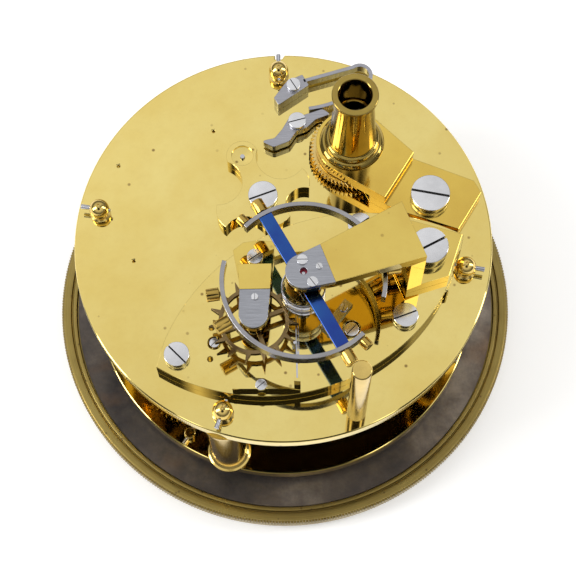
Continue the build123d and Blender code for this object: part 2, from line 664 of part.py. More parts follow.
def third_wheel():
    return train_wheel(THIRD_TEETH, FOURTH_LEAVES, THIRD_AT, FOURTH_AT, THIRD_WHEEL_Z, ARBOR_R)


def fourth_arbor():
    low = DIAL_Z - HAND_T - HAND_GAP
    shaft = arbor(FOURTH_AT, low, TOP - 0.3, PILLAR_TOP + RUN, PLATE_Z - RUN)
    return shaft + pinion(THIRD_TEETH, FOURTH_LEAVES, THIRD_AT, FOURTH_AT, THIRD_WHEEL_Z)


def fourth_wheel():
    return train_wheel(FOURTH_TEETH, ESCAPE_LEAVES, FOURTH_AT, ESCAPE_AT, FOURTH_WHEEL_Z, ARBOR_R)


def escape_arbor():
    top = SUB_TOP + ESCAPE_COCK_TOP - ESCAPE_END_T
    shaft = arbor(ESCAPE_AT, PILLAR_PLATE_Z + 1.2, top, PILLAR_TOP + RUN, top - 1.6)
    return shaft + pinion(FOURTH_TEETH, ESCAPE_LEAVES, FOURTH_AT, ESCAPE_AT, FOURTH_WHEEL_Z)


def lock_angle():
    # where the locking stone stands, just outside the escape wheel's edge
    dx = DETENT_X - DETENT_BLADE_T / 2 - 0.6 * LOCK_R - ESCAPE_AT[0]
    return -degrees(atan2((LOCK_REACH * LOCK_REACH - dx * dx) ** 0.5, dx))


def escape_wheel():
    z = ESCAPE_WHEEL_Z
    pitch = 360.0 / ESCAPE_TEETH
    root = ESCAPE_R - 1.5
    points = []
    for k in range(ESCAPE_TEETH):
        a = lock_angle() + (k + 0.06) * pitch
        points.append(polar(ESCAPE_AT, ESCAPE_R, a))
        points.append(polar(ESCAPE_AT, ESCAPE_R - 0.1, a + 0.05 * pitch))
        points.append(polar(ESCAPE_AT, root, a + 0.34 * pitch))
        points.append(polar(ESCAPE_AT, root, a + 0.92 * pitch))
    blank = slab(points, z, z + WHEEL_T)
    blank = crossed(blank, root - ESCAPE_RIM_W, 3.0 * ARBOR_R, 4, 1.1 * ARBOR_R, z, z + WHEEL_T, ESCAPE_AT, 20)
    return blank - disc(ARBOR_R + SNUG, z - 1, z + 3, ESCAPE_AT)


def sub_plate():
    front = ThreePointArc(SUB_TIP, (6.9, -32.3), SUB_RIGHT)
    back = ThreePointArc(SUB_RIGHT, (8.8, 3.6), SUB_LEFT)
    plate = outline([front, back, Line(SUB_LEFT, SUB_TIP)], TOP, SUB_TOP)
    plate -= disc(BALL_R + 0.6, TOP - 1, SUB_TOP + 1, PILLARS_AT[3])
    for at in SUB_SCREWS_AT:
        plate -= screw_hole(SUB_SCREW_R, SUB_TOP, SUB_SCREW_DEPTH, at)
    for r, head_h, z, depth, at, slot in (ESCAPE_FOOT_SCREW, DETENT_SCREW, STUD_SCREW, COCK_SCREW):
        plate -= screw_hole(r, z, depth, at)
    for r, head_h, z, depth, at, slot in (SINK_SCREW, PILOT_SCREW):
        plate -= disc(r + 0.35, z, SUB_TOP + 1, at)
        plate -= screw_hole(r, z, depth, at)
    for at, r in (((-14.2, -19.6), 0.55), ((-14.5, -26.0), 0.55), ((31.9, -12.7), 0.4)):
        plate -= disc(r, SUB_TOP - 1.5, SUB_TOP + 1, at)
    plate -= disc(ARBOR_R + 0.5, TOP - 1, SUB_TOP + 1, ESCAPE_AT)
    return plate - disc(JEWEL_R + SNUG, SUB_TOP - JEWEL_T, SUB_TOP + 1, BALANCE_AT)


JEWEL_R = 1.1
JEWEL_T = 1.0
JEWEL_HOLE = 0.3


def jewels():
    low = SUB_TOP - JEWEL_T
    foot = ring(JEWEL_R, JEWEL_HOLE + RUN, low + 0.3, SUB_TOP, BALANCE_AT) + disc(JEWEL_R, low, low + 0.3, BALANCE_AT)
    cock = SUB_TOP + COCK_TOP - COCK_END_T
    head = ring(JEWEL_R, JEWEL_HOLE + RUN, cock - 0.8, cock, BALANCE_AT)
    stone_z = SUB_TOP + ESCAPE_COCK_TOP - ESCAPE_END_T
    escape = ring(JEWEL_R, PIVOT_R + RUN, stone_z - 0.8, stone_z, ESCAPE_AT)
    return group([foot, head, escape])


def sub_plate_screws():
    screws = []
    for at, slot in zip(SUB_SCREWS_AT, SUB_SCREW_SLOTS):
        screws.append(screw(SUB_SCREW_R, SUB_SCREW_HEAD, SUB_TOP, SUB_SCREW_DEPTH, at, slot))
    return group(screws)


ESCAPE_FOOT = ((-9.9, -4.3), (-7.9, -2.7), (-5.0, -2.3), (-1.7, -2.6), (-2.3, -10.5), (-8.8, -10.5))
ESCAPE_ARM = ((-8.8, -9.4), (-2.3, -9.4), (-2.6, -14.6), (-8.5, -14.6))
ESCAPE_RISER_T = 1.1


def escape_nose():
    y0 = ESCAPE_ARM[2][1]
    return ((-2.6, y0), (-8.5, y0), (ESCAPE_AT[0] - ESCAPE_NOSE_R, ESCAPE_AT[1]),
            (ESCAPE_AT[0] + ESCAPE_NOSE_R, ESCAPE_AT[1]))


def escape_cock():
    foot_top = SUB_TOP + ESCAPE_COCK_FOOT_T
    top = SUB_TOP + ESCAPE_COCK_TOP
    under = top - ESCAPE_COCK_T
    cock = slab(ESCAPE_FOOT, SUB_TOP, foot_top)
    y0 = ESCAPE_ARM[0][1]
    cock += slab(((-8.8, y0), (-2.3, y0), (-2.3, y0 - ESCAPE_RISER_T), (-8.8, y0 - ESCAPE_RISER_T)), SUB_TOP, top)
    cock += slab(ESCAPE_ARM, under, top)
    shelf = slab(escape_nose(), under, top - ESCAPE_END_T) + disc(ESCAPE_NOSE_R, under, top - ESCAPE_END_T, ESCAPE_AT)
    cock += shelf
    cock -= disc(JEWEL_R + SNUG, under - 1, top + 1, ESCAPE_AT)
    for r, head_h, z, depth, at, slot in (ESCAPE_FOOT_SCREW, ESCAPE_END_SCREW):
        cock -= screw_hole(r, z, depth, at)
    return cock


def escape_end_plate():
    top = SUB_TOP + ESCAPE_COCK_TOP
    plate = slab(escape_nose(), top - ESCAPE_END_T, top) + disc(ESCAPE_NOSE_R, top - ESCAPE_END_T, top, ESCAPE_AT)
    r, head_h, z, depth, at, slot = ESCAPE_END_SCREW
    return plate - screw_hole(r, z, depth, at)


def escapement_screws():
    screws = (ESCAPE_FOOT_SCREW, ESCAPE_END_SCREW, DETENT_SCREW, STUD_SCREW, SINK_SCREW, PILOT_SCREW)
    return group([screw(*s) for s in screws])


def detent_foot():
    top = SUB_TOP + DETENT_FOOT_T
    x1 = DETENT_X - 0.6
    block = slab(((-10.5, -30.2), (-10.2, -32.6), (x1, -32.8), (x1, -31.0)), SUB_TOP, top)
    post = slab(((x1, -32.8), (x1 + 1.2, -32.8), (x1 + 1.2, -30.6), (x1, -30.6)), SUB_TOP, top + DETENT_H + 0.8)
    block += post
    z = SUB_TOP + DETENT_LIFT
    root = (DETENT_X, DETENT_ROOT_Y - 0.5)
    block -= bar(DETENT_BLADE_T + 2 * SNUG, 1.0 + 2 * SNUG, z - RUN, SUB_TOP + 9, root)
    r, head_h, zs, depth, at, slot = DETENT_SCREW
    return block - screw_hole(r, zs, depth, at)


def detent():
    z = SUB_TOP + DETENT_LIFT
    length = DETENT_TIP_Y - DETENT_ROOT_Y
    middle = (DETENT_X, DETENT_ROOT_Y + length / 2 - 0.5)
    blade = bar(DETENT_BLADE_T, length + 1.0, z, z + DETENT_H, middle)
    stone = polar(ESCAPE_AT, LOCK_REACH, lock_angle())
    blade += disc(LOCK_R, z, ESCAPE_WHEEL_Z + WHEEL_T + 0.2, stone)
    return blade + bar(2 * LOCK_R + 0.4, 2 * LOCK_R, z, z + 0.5, (DETENT_X - LOCK_R, stone[1]))


def passing_spring():
    z = SUB_TOP + DETENT_LIFT + 0.3
    x = DETENT_X + DETENT_BLADE_T / 2
    block = bar(0.35, 1.2, z, z + 0.9, (x + 0.175, -26.0))
    y1 = DETENT_TIP_Y + 0.7
    return block + bar(0.12, y1 + 26.0, z, z + 0.9, (x + 0.29, (y1 - 26.0) / 2))


def balance_staff():
    low = SUB_TOP - JEWEL_T + 0.35
    top = SUB_TOP + COCK_TOP - COCK_END_T - 0.05
    staff = disc(JEWEL_HOLE, low, top, BALANCE_AT)
    return staff + disc(STAFF_R, SUB_TOP + 0.5, SUB_TOP + COCK_TOP - COCK_ARM_T - AIR, BALANCE_AT)


def rollers():
    z = ESCAPE_WHEEL_Z - 0.1
    impulse = ring(IMPULSE_ROLLER_R, STAFF_R + SNUG, z, z + WHEEL_T + 0.2, BALANCE_AT)
    impulse -= bar(1.0, 0.5, z - 1, z + 3, polar(BALANCE_AT, IMPULSE_ROLLER_R, -80), -80)
    discharge = ring(DISCHARGE_ROLLER_R, STAFF_R + SNUG, SUB_TOP + 1.0, z - 0.2, BALANCE_AT)
    return group([impulse, discharge])


def balance_arm():
    top = BALANCE_Z - 0.2
    half = BALANCE_R - RIM_T / 2 - SNUG
    arm = bar(2 * half + 2, BALANCE_ARM_W, top - BALANCE_ARM_T, top, BALANCE_AT, BALANCE_ARM_ANGLE)
    arm &= disc(half, top - 5, top + 5, BALANCE_AT)
    arm += disc(2.2, top - BALANCE_ARM_T, top, BALANCE_AT)
    return arm - disc(STAFF_R + SNUG, top - 5, top + 5, BALANCE_AT)


def rim_arc(start, sweep):
    r0 = BALANCE_R - RIM_T / 2
    r1 = BALANCE_R + RIM_T / 2
    edges = [
        CenterArc(BALANCE_AT, r0, start, sweep), CenterArc(BALANCE_AT, r1, start, sweep),
        Line(polar(BALANCE_AT, r0, start), polar(BALANCE_AT, r1, start)),
        Line(polar(BALANCE_AT, r0, start + sweep), polar(BALANCE_AT, r1, start + sweep)),
    ]
    return outline(edges, BALANCE_Z - RIM_H, BALANCE_Z)


def balance_rims():
    first = rim_arc(BALANCE_ARM_ANGLE - RIM_SWEEP, RIM_SWEEP + RIM_STUB)
    second = rim_arc(BALANCE_ARM_ANGLE + 180 - RIM_SWEEP, RIM_SWEEP + RIM_STUB)
    return group([first, second])


WEIGHTS = ((0.0, 1.25, 2.8), (14.0, 1.0, 2.0), (-110.0, 1.25, 2.6), (-89.0, 1.35, 3.0))


def balance_weights():
    # nuts and weights on the rim, each a short cylinder pointing outwards
    solids = []
    z = BALANCE_Z - RIM_H / 2
    for half_turn in (0, 180):
        for offset, r, length in WEIGHTS:
            a = BALANCE_ARM_ANGLE + half_turn + offset
            at = polar(BALANCE_AT, BALANCE_R + RIM_T / 2 + 0.12 + length / 2, a)
            solids.append(across(r, r, length, at, z, a))
    return group(solids)


def balance_spring():
    # helical spring of square wire round the staff
    z = SUB_TOP + HAIR_LIFT
    helix = Pos(BALANCE_AT[0], BALANCE_AT[1], z) * Helix(HAIR_H / HAIR_TURNS, HAIR_H, HAIR_R)
    profile = Plane(origin=helix @ 0, z_dir=helix % 0, x_dir=(1, 0, 0)) * Rectangle(HAIR_WIRE, HAIR_WIRE)
    return sweep(profile, path=helix, is_frenet=True)


def spring_collet():
    z = SUB_TOP + HAIR_LIFT + HAIR_H + AIR
    return ring(HAIR_R - 0.6, STAFF_R + SNUG, z, z + 1.0, BALANCE_AT)


def spring_stud():
    # steel bar on the escapement plate, with an upright that holds the spring's lower end
    angle = STUD_BAR_ANGLE
    stud = bar(STUD_BAR_L, STUD_BAR_W, SUB_TOP, SUB_TOP + STUD_BAR_T, STUD_BAR_AT, angle)
    foot = polar(STUD_BAR_AT, 0.3 * STUD_BAR_L, angle + 180)
    z = SUB_TOP + HAIR_LIFT
    stud += disc(0.5, SUB_TOP, z + 0.6, foot)
    a = bearing(foot, BALANCE_AT)
    reach = span(foot, BALANCE_AT) - HAIR_R - HAIR_WIRE / 2 - 0.1
    stud += bar(reach, 0.6, z - 0.2, z + 0.5, polar(foot, reach / 2, a), a)
    r, head_h, zs, depth, at, slot = STUD_SCREW
    return stud - screw_hole(r, zs, depth, at)


COCK_ARM = ((26.6, -12.6), (22.4, -1.5), (6.9, -9.8), (9.6, -17.4))
COCK_FOOT = ((35.3, -2.1), (32.2, -10.8), (23.9, -13.3), (19.4, -1.6), (20.6, 1.7), (25.7, 0.9))


def cock_nose():
    c = BALANCE_AT
    a = bearing(COCK_ARM[2], COCK_ARM[3])
    back = polar(c, COCK_NOSE_R, a + 180)
    front = polar(c, COCK_NOSE_R, a)
    return (COCK_ARM[2], back, front, COCK_ARM[3])


def balance_cock():
    top = SUB_TOP + COCK_TOP
    under = top - COCK_ARM_T
    a = bearing(COCK_ARM[0], COCK_ARM[1])
    inner = [polar(p, RISER_T, a + 90) for p in COCK_ARM[:2]]
    cock = slab(COCK_ARM, under, top)
    cock += slab((COCK_ARM[0], COCK_ARM[1], inner[1], inner[0]), SUB_TOP, top)
    cock += slab(COCK_FOOT, SUB_TOP, SUB_TOP + COCK_FOOT_T)
    shelf = slab(cock_nose(), under, top - COCK_END_T) + disc(COCK_NOSE_R, under, top - COCK_END_T, BALANCE_AT)
    cock += shelf
    cock -= disc(JEWEL_R + SNUG, top - COCK_END_T - 0.8, top + 1, BALANCE_AT)
    cock -= disc(STAFF_R + AIR, under - 1, top + 1, BALANCE_AT)
    for r, head_h, z, depth, at, slot in (COCK_SCREW,) + COCK_END_SCREWS:
        cock -= screw_hole(r, z, depth, at)
    return cock


def balance_end_plate():
    top = SUB_TOP + COCK_TOP
    plate = slab(cock_nose(), top - COCK_END_T, top) + disc(COCK_NOSE_R, top - COCK_END_T, top, BALANCE_AT)
    plate -= disc(0.7, top - 0.5, top + 1, BALANCE_AT)
    for r, head_h, z, depth, at, slot in COCK_END_SCREWS:
        plate -= screw_hole(r, z, depth, at)
    return plate


def balance_cock_screws():
    return group([screw(*s) for s in (COCK_SCREW,) + COCK_END_SCREWS])


HOUR_HAND_Z = DIAL_Z - 2 * HAND_GAP - 2 * HAND_T
MINUTE_HAND_Z = HOUR_HAND_Z - HAND_GAP - HAND_T
MINUTE_WHEEL_Z = PILLAR_PLATE_Z - 1.9
HOUR_WHEEL_Z = MINUTE_WHEEL_Z - 1.9
MOTION_T = 0.8


def cannon_pinion():
    m = module(MINUTE_TEETH, CANNON_LEAVES, MINUTE_STUD_AT, CENTRE_AT)
    r = m * CANNON_LEAVES / 2
    z = MINUTE_WHEEL_Z
    gap = bearing(CENTRE_AT, MINUTE_STUD_AT) + 180.0 / CANNON_LEAVES
    leaves = toothed(CANNON_LEAVES, r + 0.75 * m, r - m, z - 0.3, z + MOTION_T + 0.3, CENTRE_AT, gap, 0.18, 0.5)
    pipe = disc(CANNON_R, MINUTE_HAND_Z, z, CENTRE_AT)
    return leaves + pipe - disc(ARBOR_R - 0.1 + SNUG, 0, z + 5, CENTRE_AT)


def minute_wheel():
    at = MINUTE_STUD_AT
    m = module(MINUTE_TEETH, CANNON_LEAVES, at, CENTRE_AT)
    r = m * MINUTE_TEETH / 2
    z = MINUTE_WHEEL_Z
    wheel = toothed(MINUTE_TEETH, r + 0.75 * m, r - m, z, z + MOTION_T, at, bearing(at, CENTRE_AT))
    m = module(HOUR_TEETH, MINUTE_LEAVES, CENTRE_AT, at)
    r = m * MINUTE_LEAVES / 2
    gap = bearing(at, CENTRE_AT) + 180.0 / MINUTE_LEAVES
    low = HOUR_WHEEL_Z - 0.2
    wheel += toothed(MINUTE_LEAVES, r + 0.75 * m, r - m, low, z, at, gap, 0.18, 0.5)
    return wheel - disc(ARBOR_R + RUN, low - 1, z + 3, at)


def hour_wheel():
    m = module(HOUR_TEETH, MINUTE_LEAVES, CENTRE_AT, MINUTE_STUD_AT)
    r = m * HOUR_TEETH / 2
    z = HOUR_WHEEL_Z
    wheel = toothed(HOUR_TEETH, r + 0.75 * m, r - m, z, z + MOTION_T, CENTRE_AT, bearing(CENTRE_AT, MINUTE_STUD_AT))
    wheel += disc(HOUR_PIPE_R, HOUR_HAND_Z, z, CENTRE_AT)
    return wheel - disc(CANNON_R + RUN, 0, z + 3, CENTRE_AT)


def hand(length, width, bore, z, at, angle):
    # a slender pointer with a round hub and a short tail
    hub = 2.2 * bore + 0.4
    tip = polar(at, length, angle)
    wide = polar(at, 0.72 * length, angle)
    left = polar(wide, width / 2, angle + 90)
    right = polar(wide, width / 2, angle - 90)
    root = polar(at, -2.4 * hub, angle)
    root_l = polar(root, 0.3 * width, angle + 90)
    root_r = polar(root, 0.3 * width, angle - 90)
    pointer = slab((root_r, right, tip, left, root_l), z, z + HAND_T) + disc(hub, z, z + HAND_T, at)
    return pointer - disc(bore + SNUG, z - 1, z + 1, at)


def hour_hand():
    return hand(HOUR_HAND_L, 2.6, HOUR_PIPE_R, HOUR_HAND_Z, CENTRE_AT, 150.0)


def minute_hand():
    return hand(MINUTE_HAND_L, 1.8, CANNON_R, MINUTE_HAND_Z, CENTRE_AT, 205.0)


def seconds_hand():
    return hand(SECONDS_HAND_L, 0.9, PIVOT_R, DIAL_Z - HAND_GAP - HAND_T, FOURTH_AT, 250.0)


NODES = (
    bezel_ring, bezel_glass, glass_ring, dial, dial_foot_pins, pillar_plate, pillars, pillar_taper_pins,
    top_plate, sub_plate, sub_plate_screws, winding_bridge, plate_screws, winding_tube, barrel, barrel_cover,
    mainspring, barrel_arbor, ratchet_wheel, click, click_screws, click_spring, intermediate_arbor,
    intermediate_wheel, train_cock, centre_arbor, centre_wheel, third_arbor, third_wheel, fourth_arbor,
    fourth_wheel, escape_arbor, escape_wheel, escape_cock, escape_end_plate, escapement_screws, detent_foot,
    detent, passing_spring, balance_cock, balance_end_plate, balance_cock_screws, jewels, balance_staff, rollers,
    balance_arm, balance_rims, balance_weights, balance_spring, spring_collet, spring_stud, cannon_pinion,
    minute_wheel, hour_wheel, hour_hand, minute_hand, seconds_hand, resting_post,
)

for make in NODES:
    export_step(make(), "parts/" + make.__name__ + ".step")
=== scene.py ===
import bpy
import bmesh
import json
import math
from mathutils import Matrix, Vector


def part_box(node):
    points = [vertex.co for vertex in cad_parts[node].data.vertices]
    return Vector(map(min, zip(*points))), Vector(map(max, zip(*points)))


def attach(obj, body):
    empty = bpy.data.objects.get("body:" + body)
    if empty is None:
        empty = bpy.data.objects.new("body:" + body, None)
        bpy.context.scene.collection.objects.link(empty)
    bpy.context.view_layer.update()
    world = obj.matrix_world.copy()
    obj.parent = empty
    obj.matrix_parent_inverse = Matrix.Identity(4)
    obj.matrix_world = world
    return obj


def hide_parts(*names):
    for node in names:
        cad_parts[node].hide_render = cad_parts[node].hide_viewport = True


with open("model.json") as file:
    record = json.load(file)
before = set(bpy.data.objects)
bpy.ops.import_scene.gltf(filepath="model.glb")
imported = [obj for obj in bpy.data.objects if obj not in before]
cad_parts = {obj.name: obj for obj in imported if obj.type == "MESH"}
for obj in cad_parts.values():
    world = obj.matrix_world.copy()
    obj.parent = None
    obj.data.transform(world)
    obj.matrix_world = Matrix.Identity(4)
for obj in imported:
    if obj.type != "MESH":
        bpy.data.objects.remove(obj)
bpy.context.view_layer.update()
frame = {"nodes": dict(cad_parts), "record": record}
nodes = frame["nodes"]
scene = bpy.context.scene
MM = 0.001


# Levels and places, in millimetres, in the frame of the solids

def top_of(node):
    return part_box(node)[1].z / MM


def foot_of(node):
    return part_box(node)[0].z / MM


def middle_of(node):
    low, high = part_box(node)
    return ((low.x + high.x) / 2 / MM, (low.y + high.y) / 2 / MM)


def radius_of(node):
    # of a round piece that stands on the middle of the frame
    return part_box(node)[1].x / MM


TOP = top_of("top_plate")
PLATE_Z = foot_of("top_plate")
PLATE_R = radius_of("top_plate")
PILLAR_PLATE_T = 3.0
PILLAR_TOP = top_of("pillar_plate")
PILLAR_PLATE_Z = PILLAR_TOP - PILLAR_PLATE_T
PILLAR_PLATE_R = radius_of("pillar_plate")
SUB_TOP = top_of("sub_plate")
DIAL_T = 0.8
DIAL_R = radius_of("dial")
DIAL_Z = foot_of("dial")
DIAL_TOP = DIAL_Z + DIAL_T
COCK_TOP = top_of("balance_cock")
ESCAPE_TOP = top_of("escape_cock")
POST_AT = middle_of("resting_post")
BALANCE_AT = middle_of("balance_staff")
ESCAPE_AT = middle_of("escape_arbor")
BARREL_AT = middle_of("winding_tube")
INTERMEDIATE_AT = middle_of("intermediate_wheel")
FOURTH_AT = middle_of("fourth_arbor")
CENTRE_AT = (0, 0)
MINUTE_STUD_AT = (9.6, 0.0)
PILLARS_AT = ((-0.3, 37.1), (-36.9, 6.5), (-12.2, -36.0), (36.1, -7.4))
BALL_R = 2.0
BALL_LIFT = top_of("pillars") - TOP - BALL_R


# Plane geometry

def polar(at, r, angle):
    return (at[0] + r * math.cos(math.radians(angle)), at[1] + r * math.sin(math.radians(angle)))


def bearing(a, b):
    return math.degrees(math.atan2(b[1] - a[1], b[0] - a[0]))


def circle(r, at=(0, 0), count=96):
    return [polar(at, r, 360 * k / count) for k in range(count)]


def arc(at, r, start, sweep, count=24):
    return [polar(at, r, start + sweep * k / count) for k in range(count + 1)]


def arc_through(a, m, b, count=24):
    # points from a to b on the circle through m
    ax, ay = a
    bx, by = m
    cx, cy = b
    d = 2 * (ax * (by - cy) + bx * (cy - ay) + cx * (ay - by))
    aa, bb, cc = ax * ax + ay * ay, bx * bx + by * by, cx * cx + cy * cy
    ux = (aa * (by - cy) + bb * (cy - ay) + cc * (ay - by)) / d
    uy = (aa * (cx - bx) + bb * (ax - cx) + cc * (bx - ax)) / d
    centre = (ux, uy)
    start, middle, end = bearing(centre, a), bearing(centre, m), bearing(centre, b)
    sweep = (end - start) % 360
    if (middle - start) % 360 > sweep:
        sweep -= 360
    return arc(centre, math.dist(centre, a), start, sweep, count)


STRAIGHT_ON = 0.12  # radians of turn below which a corner is left as it is


def eased(points, r, count=4):
    # rounds each corner of a closed outline with a small arc
    out = []
    n = len(points)
    for k in range(n):
        p, a, b = Vector(points[k]), Vector(points[k - 1]), Vector(points[(k + 1) % n])
        da, db = a - p, b - p
        if da.length < 1e-6 or db.length < 1e-6:
            continue
        turn = math.pi - da.angle(db)
        if turn < STRAIGHT_ON:
            out.append(tuple(p))
            continue
        reach = min(r * math.tan(turn / 2), 0.45 * da.length, 0.45 * db.length)
        start, end = p + da.normalized() * reach, p + db.normalized() * reach
        for i in range(count + 1):
            t = i / count
            out.append(tuple((1 - t) ** 2 * start + 2 * t * (1 - t) * p + t * t * end))
    return out


# Mesh making

def link(name, mesh):
    piece = bpy.data.objects.new(name, mesh)
    scene.collection.objects.link(piece)
    return piece


def drop(piece):
    data = piece.data
    bpy.data.objects.remove(piece)
    if isinstance(data, bpy.types.Curve):
        bpy.data.curves.remove(data)
    elif data.users == 0:
        bpy.data.meshes.remove(data)


CURVED = 32.0  # degrees between faces that still read as one curved surface
FLAT = 14.0  # the same for plates, so that their bevels don't bend their faces
WELD = 2e-7


def settle(mesh, angle=CURVED):
    # merges doubles, turns faces outwards and keeps only the real edges sharp
    work = bmesh.new()
    work.from_mesh(mesh)
    bmesh.ops.remove_doubles(work, verts=work.verts, dist=WELD)
    bmesh.ops.recalc_face_normals(work, faces=work.faces)
    work.to_mesh(mesh)
    work.free()
    mesh.shade_smooth()
    mesh.set_sharp_from_angle(angle=math.radians(angle))
    return mesh


def baked(piece):
    # the piece with its modifiers worked out, as a plain mesh
    bpy.context.view_layer.update()
    graph = bpy.context.evaluated_depsgraph_get()
    return bpy.data.meshes.new_from_object(piece.evaluated_get(graph))


def flat(loops, z0, z1, edge=0.12, steps=1):
    # a plate from closed outlines, the first one outside, with eased edges
    curve = bpy.data.curves.new("outline", "CURVE")
    curve.dimensions = "2D"
    curve.fill_mode = "BOTH"
    for loop in loops:
        spline = curve.splines.new("POLY")
        spline.points.add(len(loop) - 1)
        spline.points.foreach_set("co", [c for x, y in loop for c in (x, y, 0.0, 1.0)])
        spline.use_cyclic_u = True
    curve.extrude = (z1 - z0) / 2 - edge
    curve.bevel_depth = edge
    curve.bevel_resolution = steps
    curve.offset = -edge
    shape = link("outline", curve)
    mesh = baked(shape)
    drop(shape)
    mesh.transform(Matrix.Scale(MM, 4) @ Matrix.Translation((0, 0, (z0 + z1) / 2)))
    return settle(mesh, FLAT)


def turned(profile, at=(0, 0), ease=0.0, count=128):
    # a lathe piece from its closed half section, (radius, height) points
    points = eased(profile, ease, 3) if ease else list(profile)
    work = bmesh.new()
    rings = []
    for r, z in points:
        if r < 1e-5:
            rings.append([work.verts.new((at[0] * MM, at[1] * MM, z * MM))])
        else:
            rings.append([work.verts.new((x * MM, y * MM, z * MM)) for x, y in circle(r, at, count)])
    for k in range(len(rings)):
        a, b = rings[k], rings[(k + 1) % len(rings)]
        for i in range(count):
            j = (i + 1) % count
            corners = [a[i % len(a)], a[j % len(a)], b[j % len(b)], b[i % len(b)]]
            corners = [v for n, v in enumerate(corners) if v not in corners[:n]]
            if len(corners) > 2:
                work.faces.new(corners)
    mesh = bpy.data.meshes.new("turned")
    work.to_mesh(mesh)
    work.free()
    return settle(mesh)


def block(length, width, z0, z1, at, angle, edge=0.08):
    corners = []
    for sx, sy in ((-1, -1), (1, -1), (1, 1), (-1, 1)):
        p = polar(at, sx * length / 2, angle)
        corners.append(polar(p, sy * width / 2, angle + 90))
    return flat([corners], z0, z1, edge)


def laid(mesh, at, z, angle):
    # turns a piece made round the Z axis at the origin so that it lies level, pointing along angle
    turn = Matrix.Rotation(math.radians(angle), 4, "Z") @ Matrix.Rotation(math.radians(90), 4, "Y")
    mesh.transform(Matrix.Translation((at[0] * MM, at[1] * MM, z * MM)) @ turn)
    return mesh


def moved(mesh, at, z=0.0, angle=0.0):
    turn = Matrix.Rotation(math.radians(angle), 4, "Z")
    mesh.transform(Matrix.Translation((at[0] * MM, at[1] * MM, z * MM)) @ turn)
    return mesh


def joined(meshes):
    work = bmesh.new()
    for mesh in meshes:
        work.from_mesh(mesh)
        bpy.data.meshes.remove(mesh)
    whole = bpy.data.meshes.new("joined")
    work.to_mesh(whole)
    work.free()
    return whole


def cut(mesh, cutter, edge):
    # takes the cutter out of a mesh, then eases the new edges
    piece, tool = link("cut", mesh), link("cutter", cutter)
    step = piece.modifiers.new("cut", "BOOLEAN")
    step.operation = "DIFFERENCE"
    step.solver = "EXACT"
    step.object = tool
    ease = piece.modifiers.new("ease", "BEVEL")
    ease.width = edge * MM
    ease.segments = 2
    ease.limit_method = "ANGLE"
    ease.angle_limit = math.radians(40)
    result = baked(piece)
    drop(piece)
    drop(tool)
    return settle(result, FLAT)


# Node trees that repeat a piece

def tree_named(name, inputs):
    tree = bpy.data.node_groups.new(name, "GeometryNodeTree")
    tree.interface.new_socket("Geometry", in_out="INPUT", socket_type="NodeSocketGeometry")
    tree.interface.new_socket("Geometry", in_out="OUTPUT", socket_type="NodeSocketGeometry")
    for label, kind in inputs:
        tree.interface.new_socket(label, in_out="INPUT", socket_type=kind)
    return tree, tree.nodes.new("NodeGroupInput")


def close_tree(tree, source, made):
    # makes the repeated pieces real and gives them their finish
    new, wire = tree.nodes.new, tree.links.new
    real = new("GeometryNodeRealizeInstances")
    wire(made.outputs[0], real.inputs[0])
    finish = new("GeometryNodeSetMaterial")
    wire(real.outputs[0], finish.inputs["Geometry"])
    wire(source.outputs["Finish"], finish.inputs["Material"])
    wire(finish.outputs[0], new("NodeGroupOutput").inputs[0])
    return tree


def set_inputs(piece, tree, values):
    step = piece.modifiers.new("build", "NODES")
    step.node_group = tree
    for item in tree.interface.items_tree:
        if item.in_out == "INPUT" and item.name in values:
            step[item.identifier] = values[item.name]
    return step


def repeat_on_circle():
    # one tooth repeated round the Z axis
    tree, source = tree_named("teeth_round_a_rim", (
        ("Tooth", "NodeSocketObject"), ("Count", "NodeSocketInt"), ("Radius", "NodeSocketFloat"),
        ("Height", "NodeSocketFloat"), ("Finish", "NodeSocketMaterial")))
    new, wire = tree.nodes.new, tree.links.new
    ring = new("GeometryNodeMeshCircle")
    wire(source.outputs["Count"], ring.inputs["Vertices"])
    wire(source.outputs["Radius"], ring.inputs["Radius"])
    place = new("GeometryNodeTransform")
    lift = new("ShaderNodeCombineXYZ")
    wire(source.outputs["Height"], lift.inputs["Z"])
    wire(ring.outputs["Mesh"], place.inputs["Geometry"])
    wire(lift.outputs[0], place.inputs["Translation"])
    index = new("GeometryNodeInputIndex")
    share = new("ShaderNodeMath")
    share.operation = "DIVIDE"
    wire(index.outputs[0], share.inputs[0])
    wire(source.outputs["Count"], share.inputs[1])
    angle = new("ShaderNodeMath")
    angle.operation = "MULTIPLY"
    wire(share.outputs[0], angle.inputs[0])
    angle.inputs[1].default_value = 2 * math.pi
    turn = new("ShaderNodeCombineXYZ")
    wire(angle.outputs[0], turn.inputs["Z"])
    tooth = new("GeometryNodeObjectInfo")
    wire(source.outputs["Tooth"], tooth.inputs["Object"])
    many = new("GeometryNodeInstanceOnPoints")
    wire(place.outputs[0], many.inputs["Points"])
    wire(tooth.outputs["Geometry"], many.inputs["Instance"])
    wire(turn.outputs[0], many.inputs["Rotation"])
    return close_tree(tree, source, many)


def repeat_at_places():
    # one piece at each point, sized and turned by the point's own values
    tree, source = tree_named("pieces_at_places", (
        ("Piece", "NodeSocketObject"), ("Finish", "NodeSocketMaterial")))
    new, wire = tree.nodes.new, tree.links.new
    piece = new("GeometryNodeObjectInfo")
    wire(source.outputs["Piece"], piece.inputs["Object"])
    many = new("GeometryNodeInstanceOnPoints")
    wire(source.outputs["Geometry"], many.inputs["Points"])
    wire(piece.outputs["Geometry"], many.inputs["Instance"])
    for label, socket in (("turn", "Rotation"), ("size", "Scale")):
        value = new("GeometryNodeInputNamedAttribute")
        value.data_type = "FLOAT_VECTOR"
        value.inputs["Name"].default_value = label
        wire(value.outputs["Attribute"], many.inputs[socket])
    return close_tree(tree, source, many)


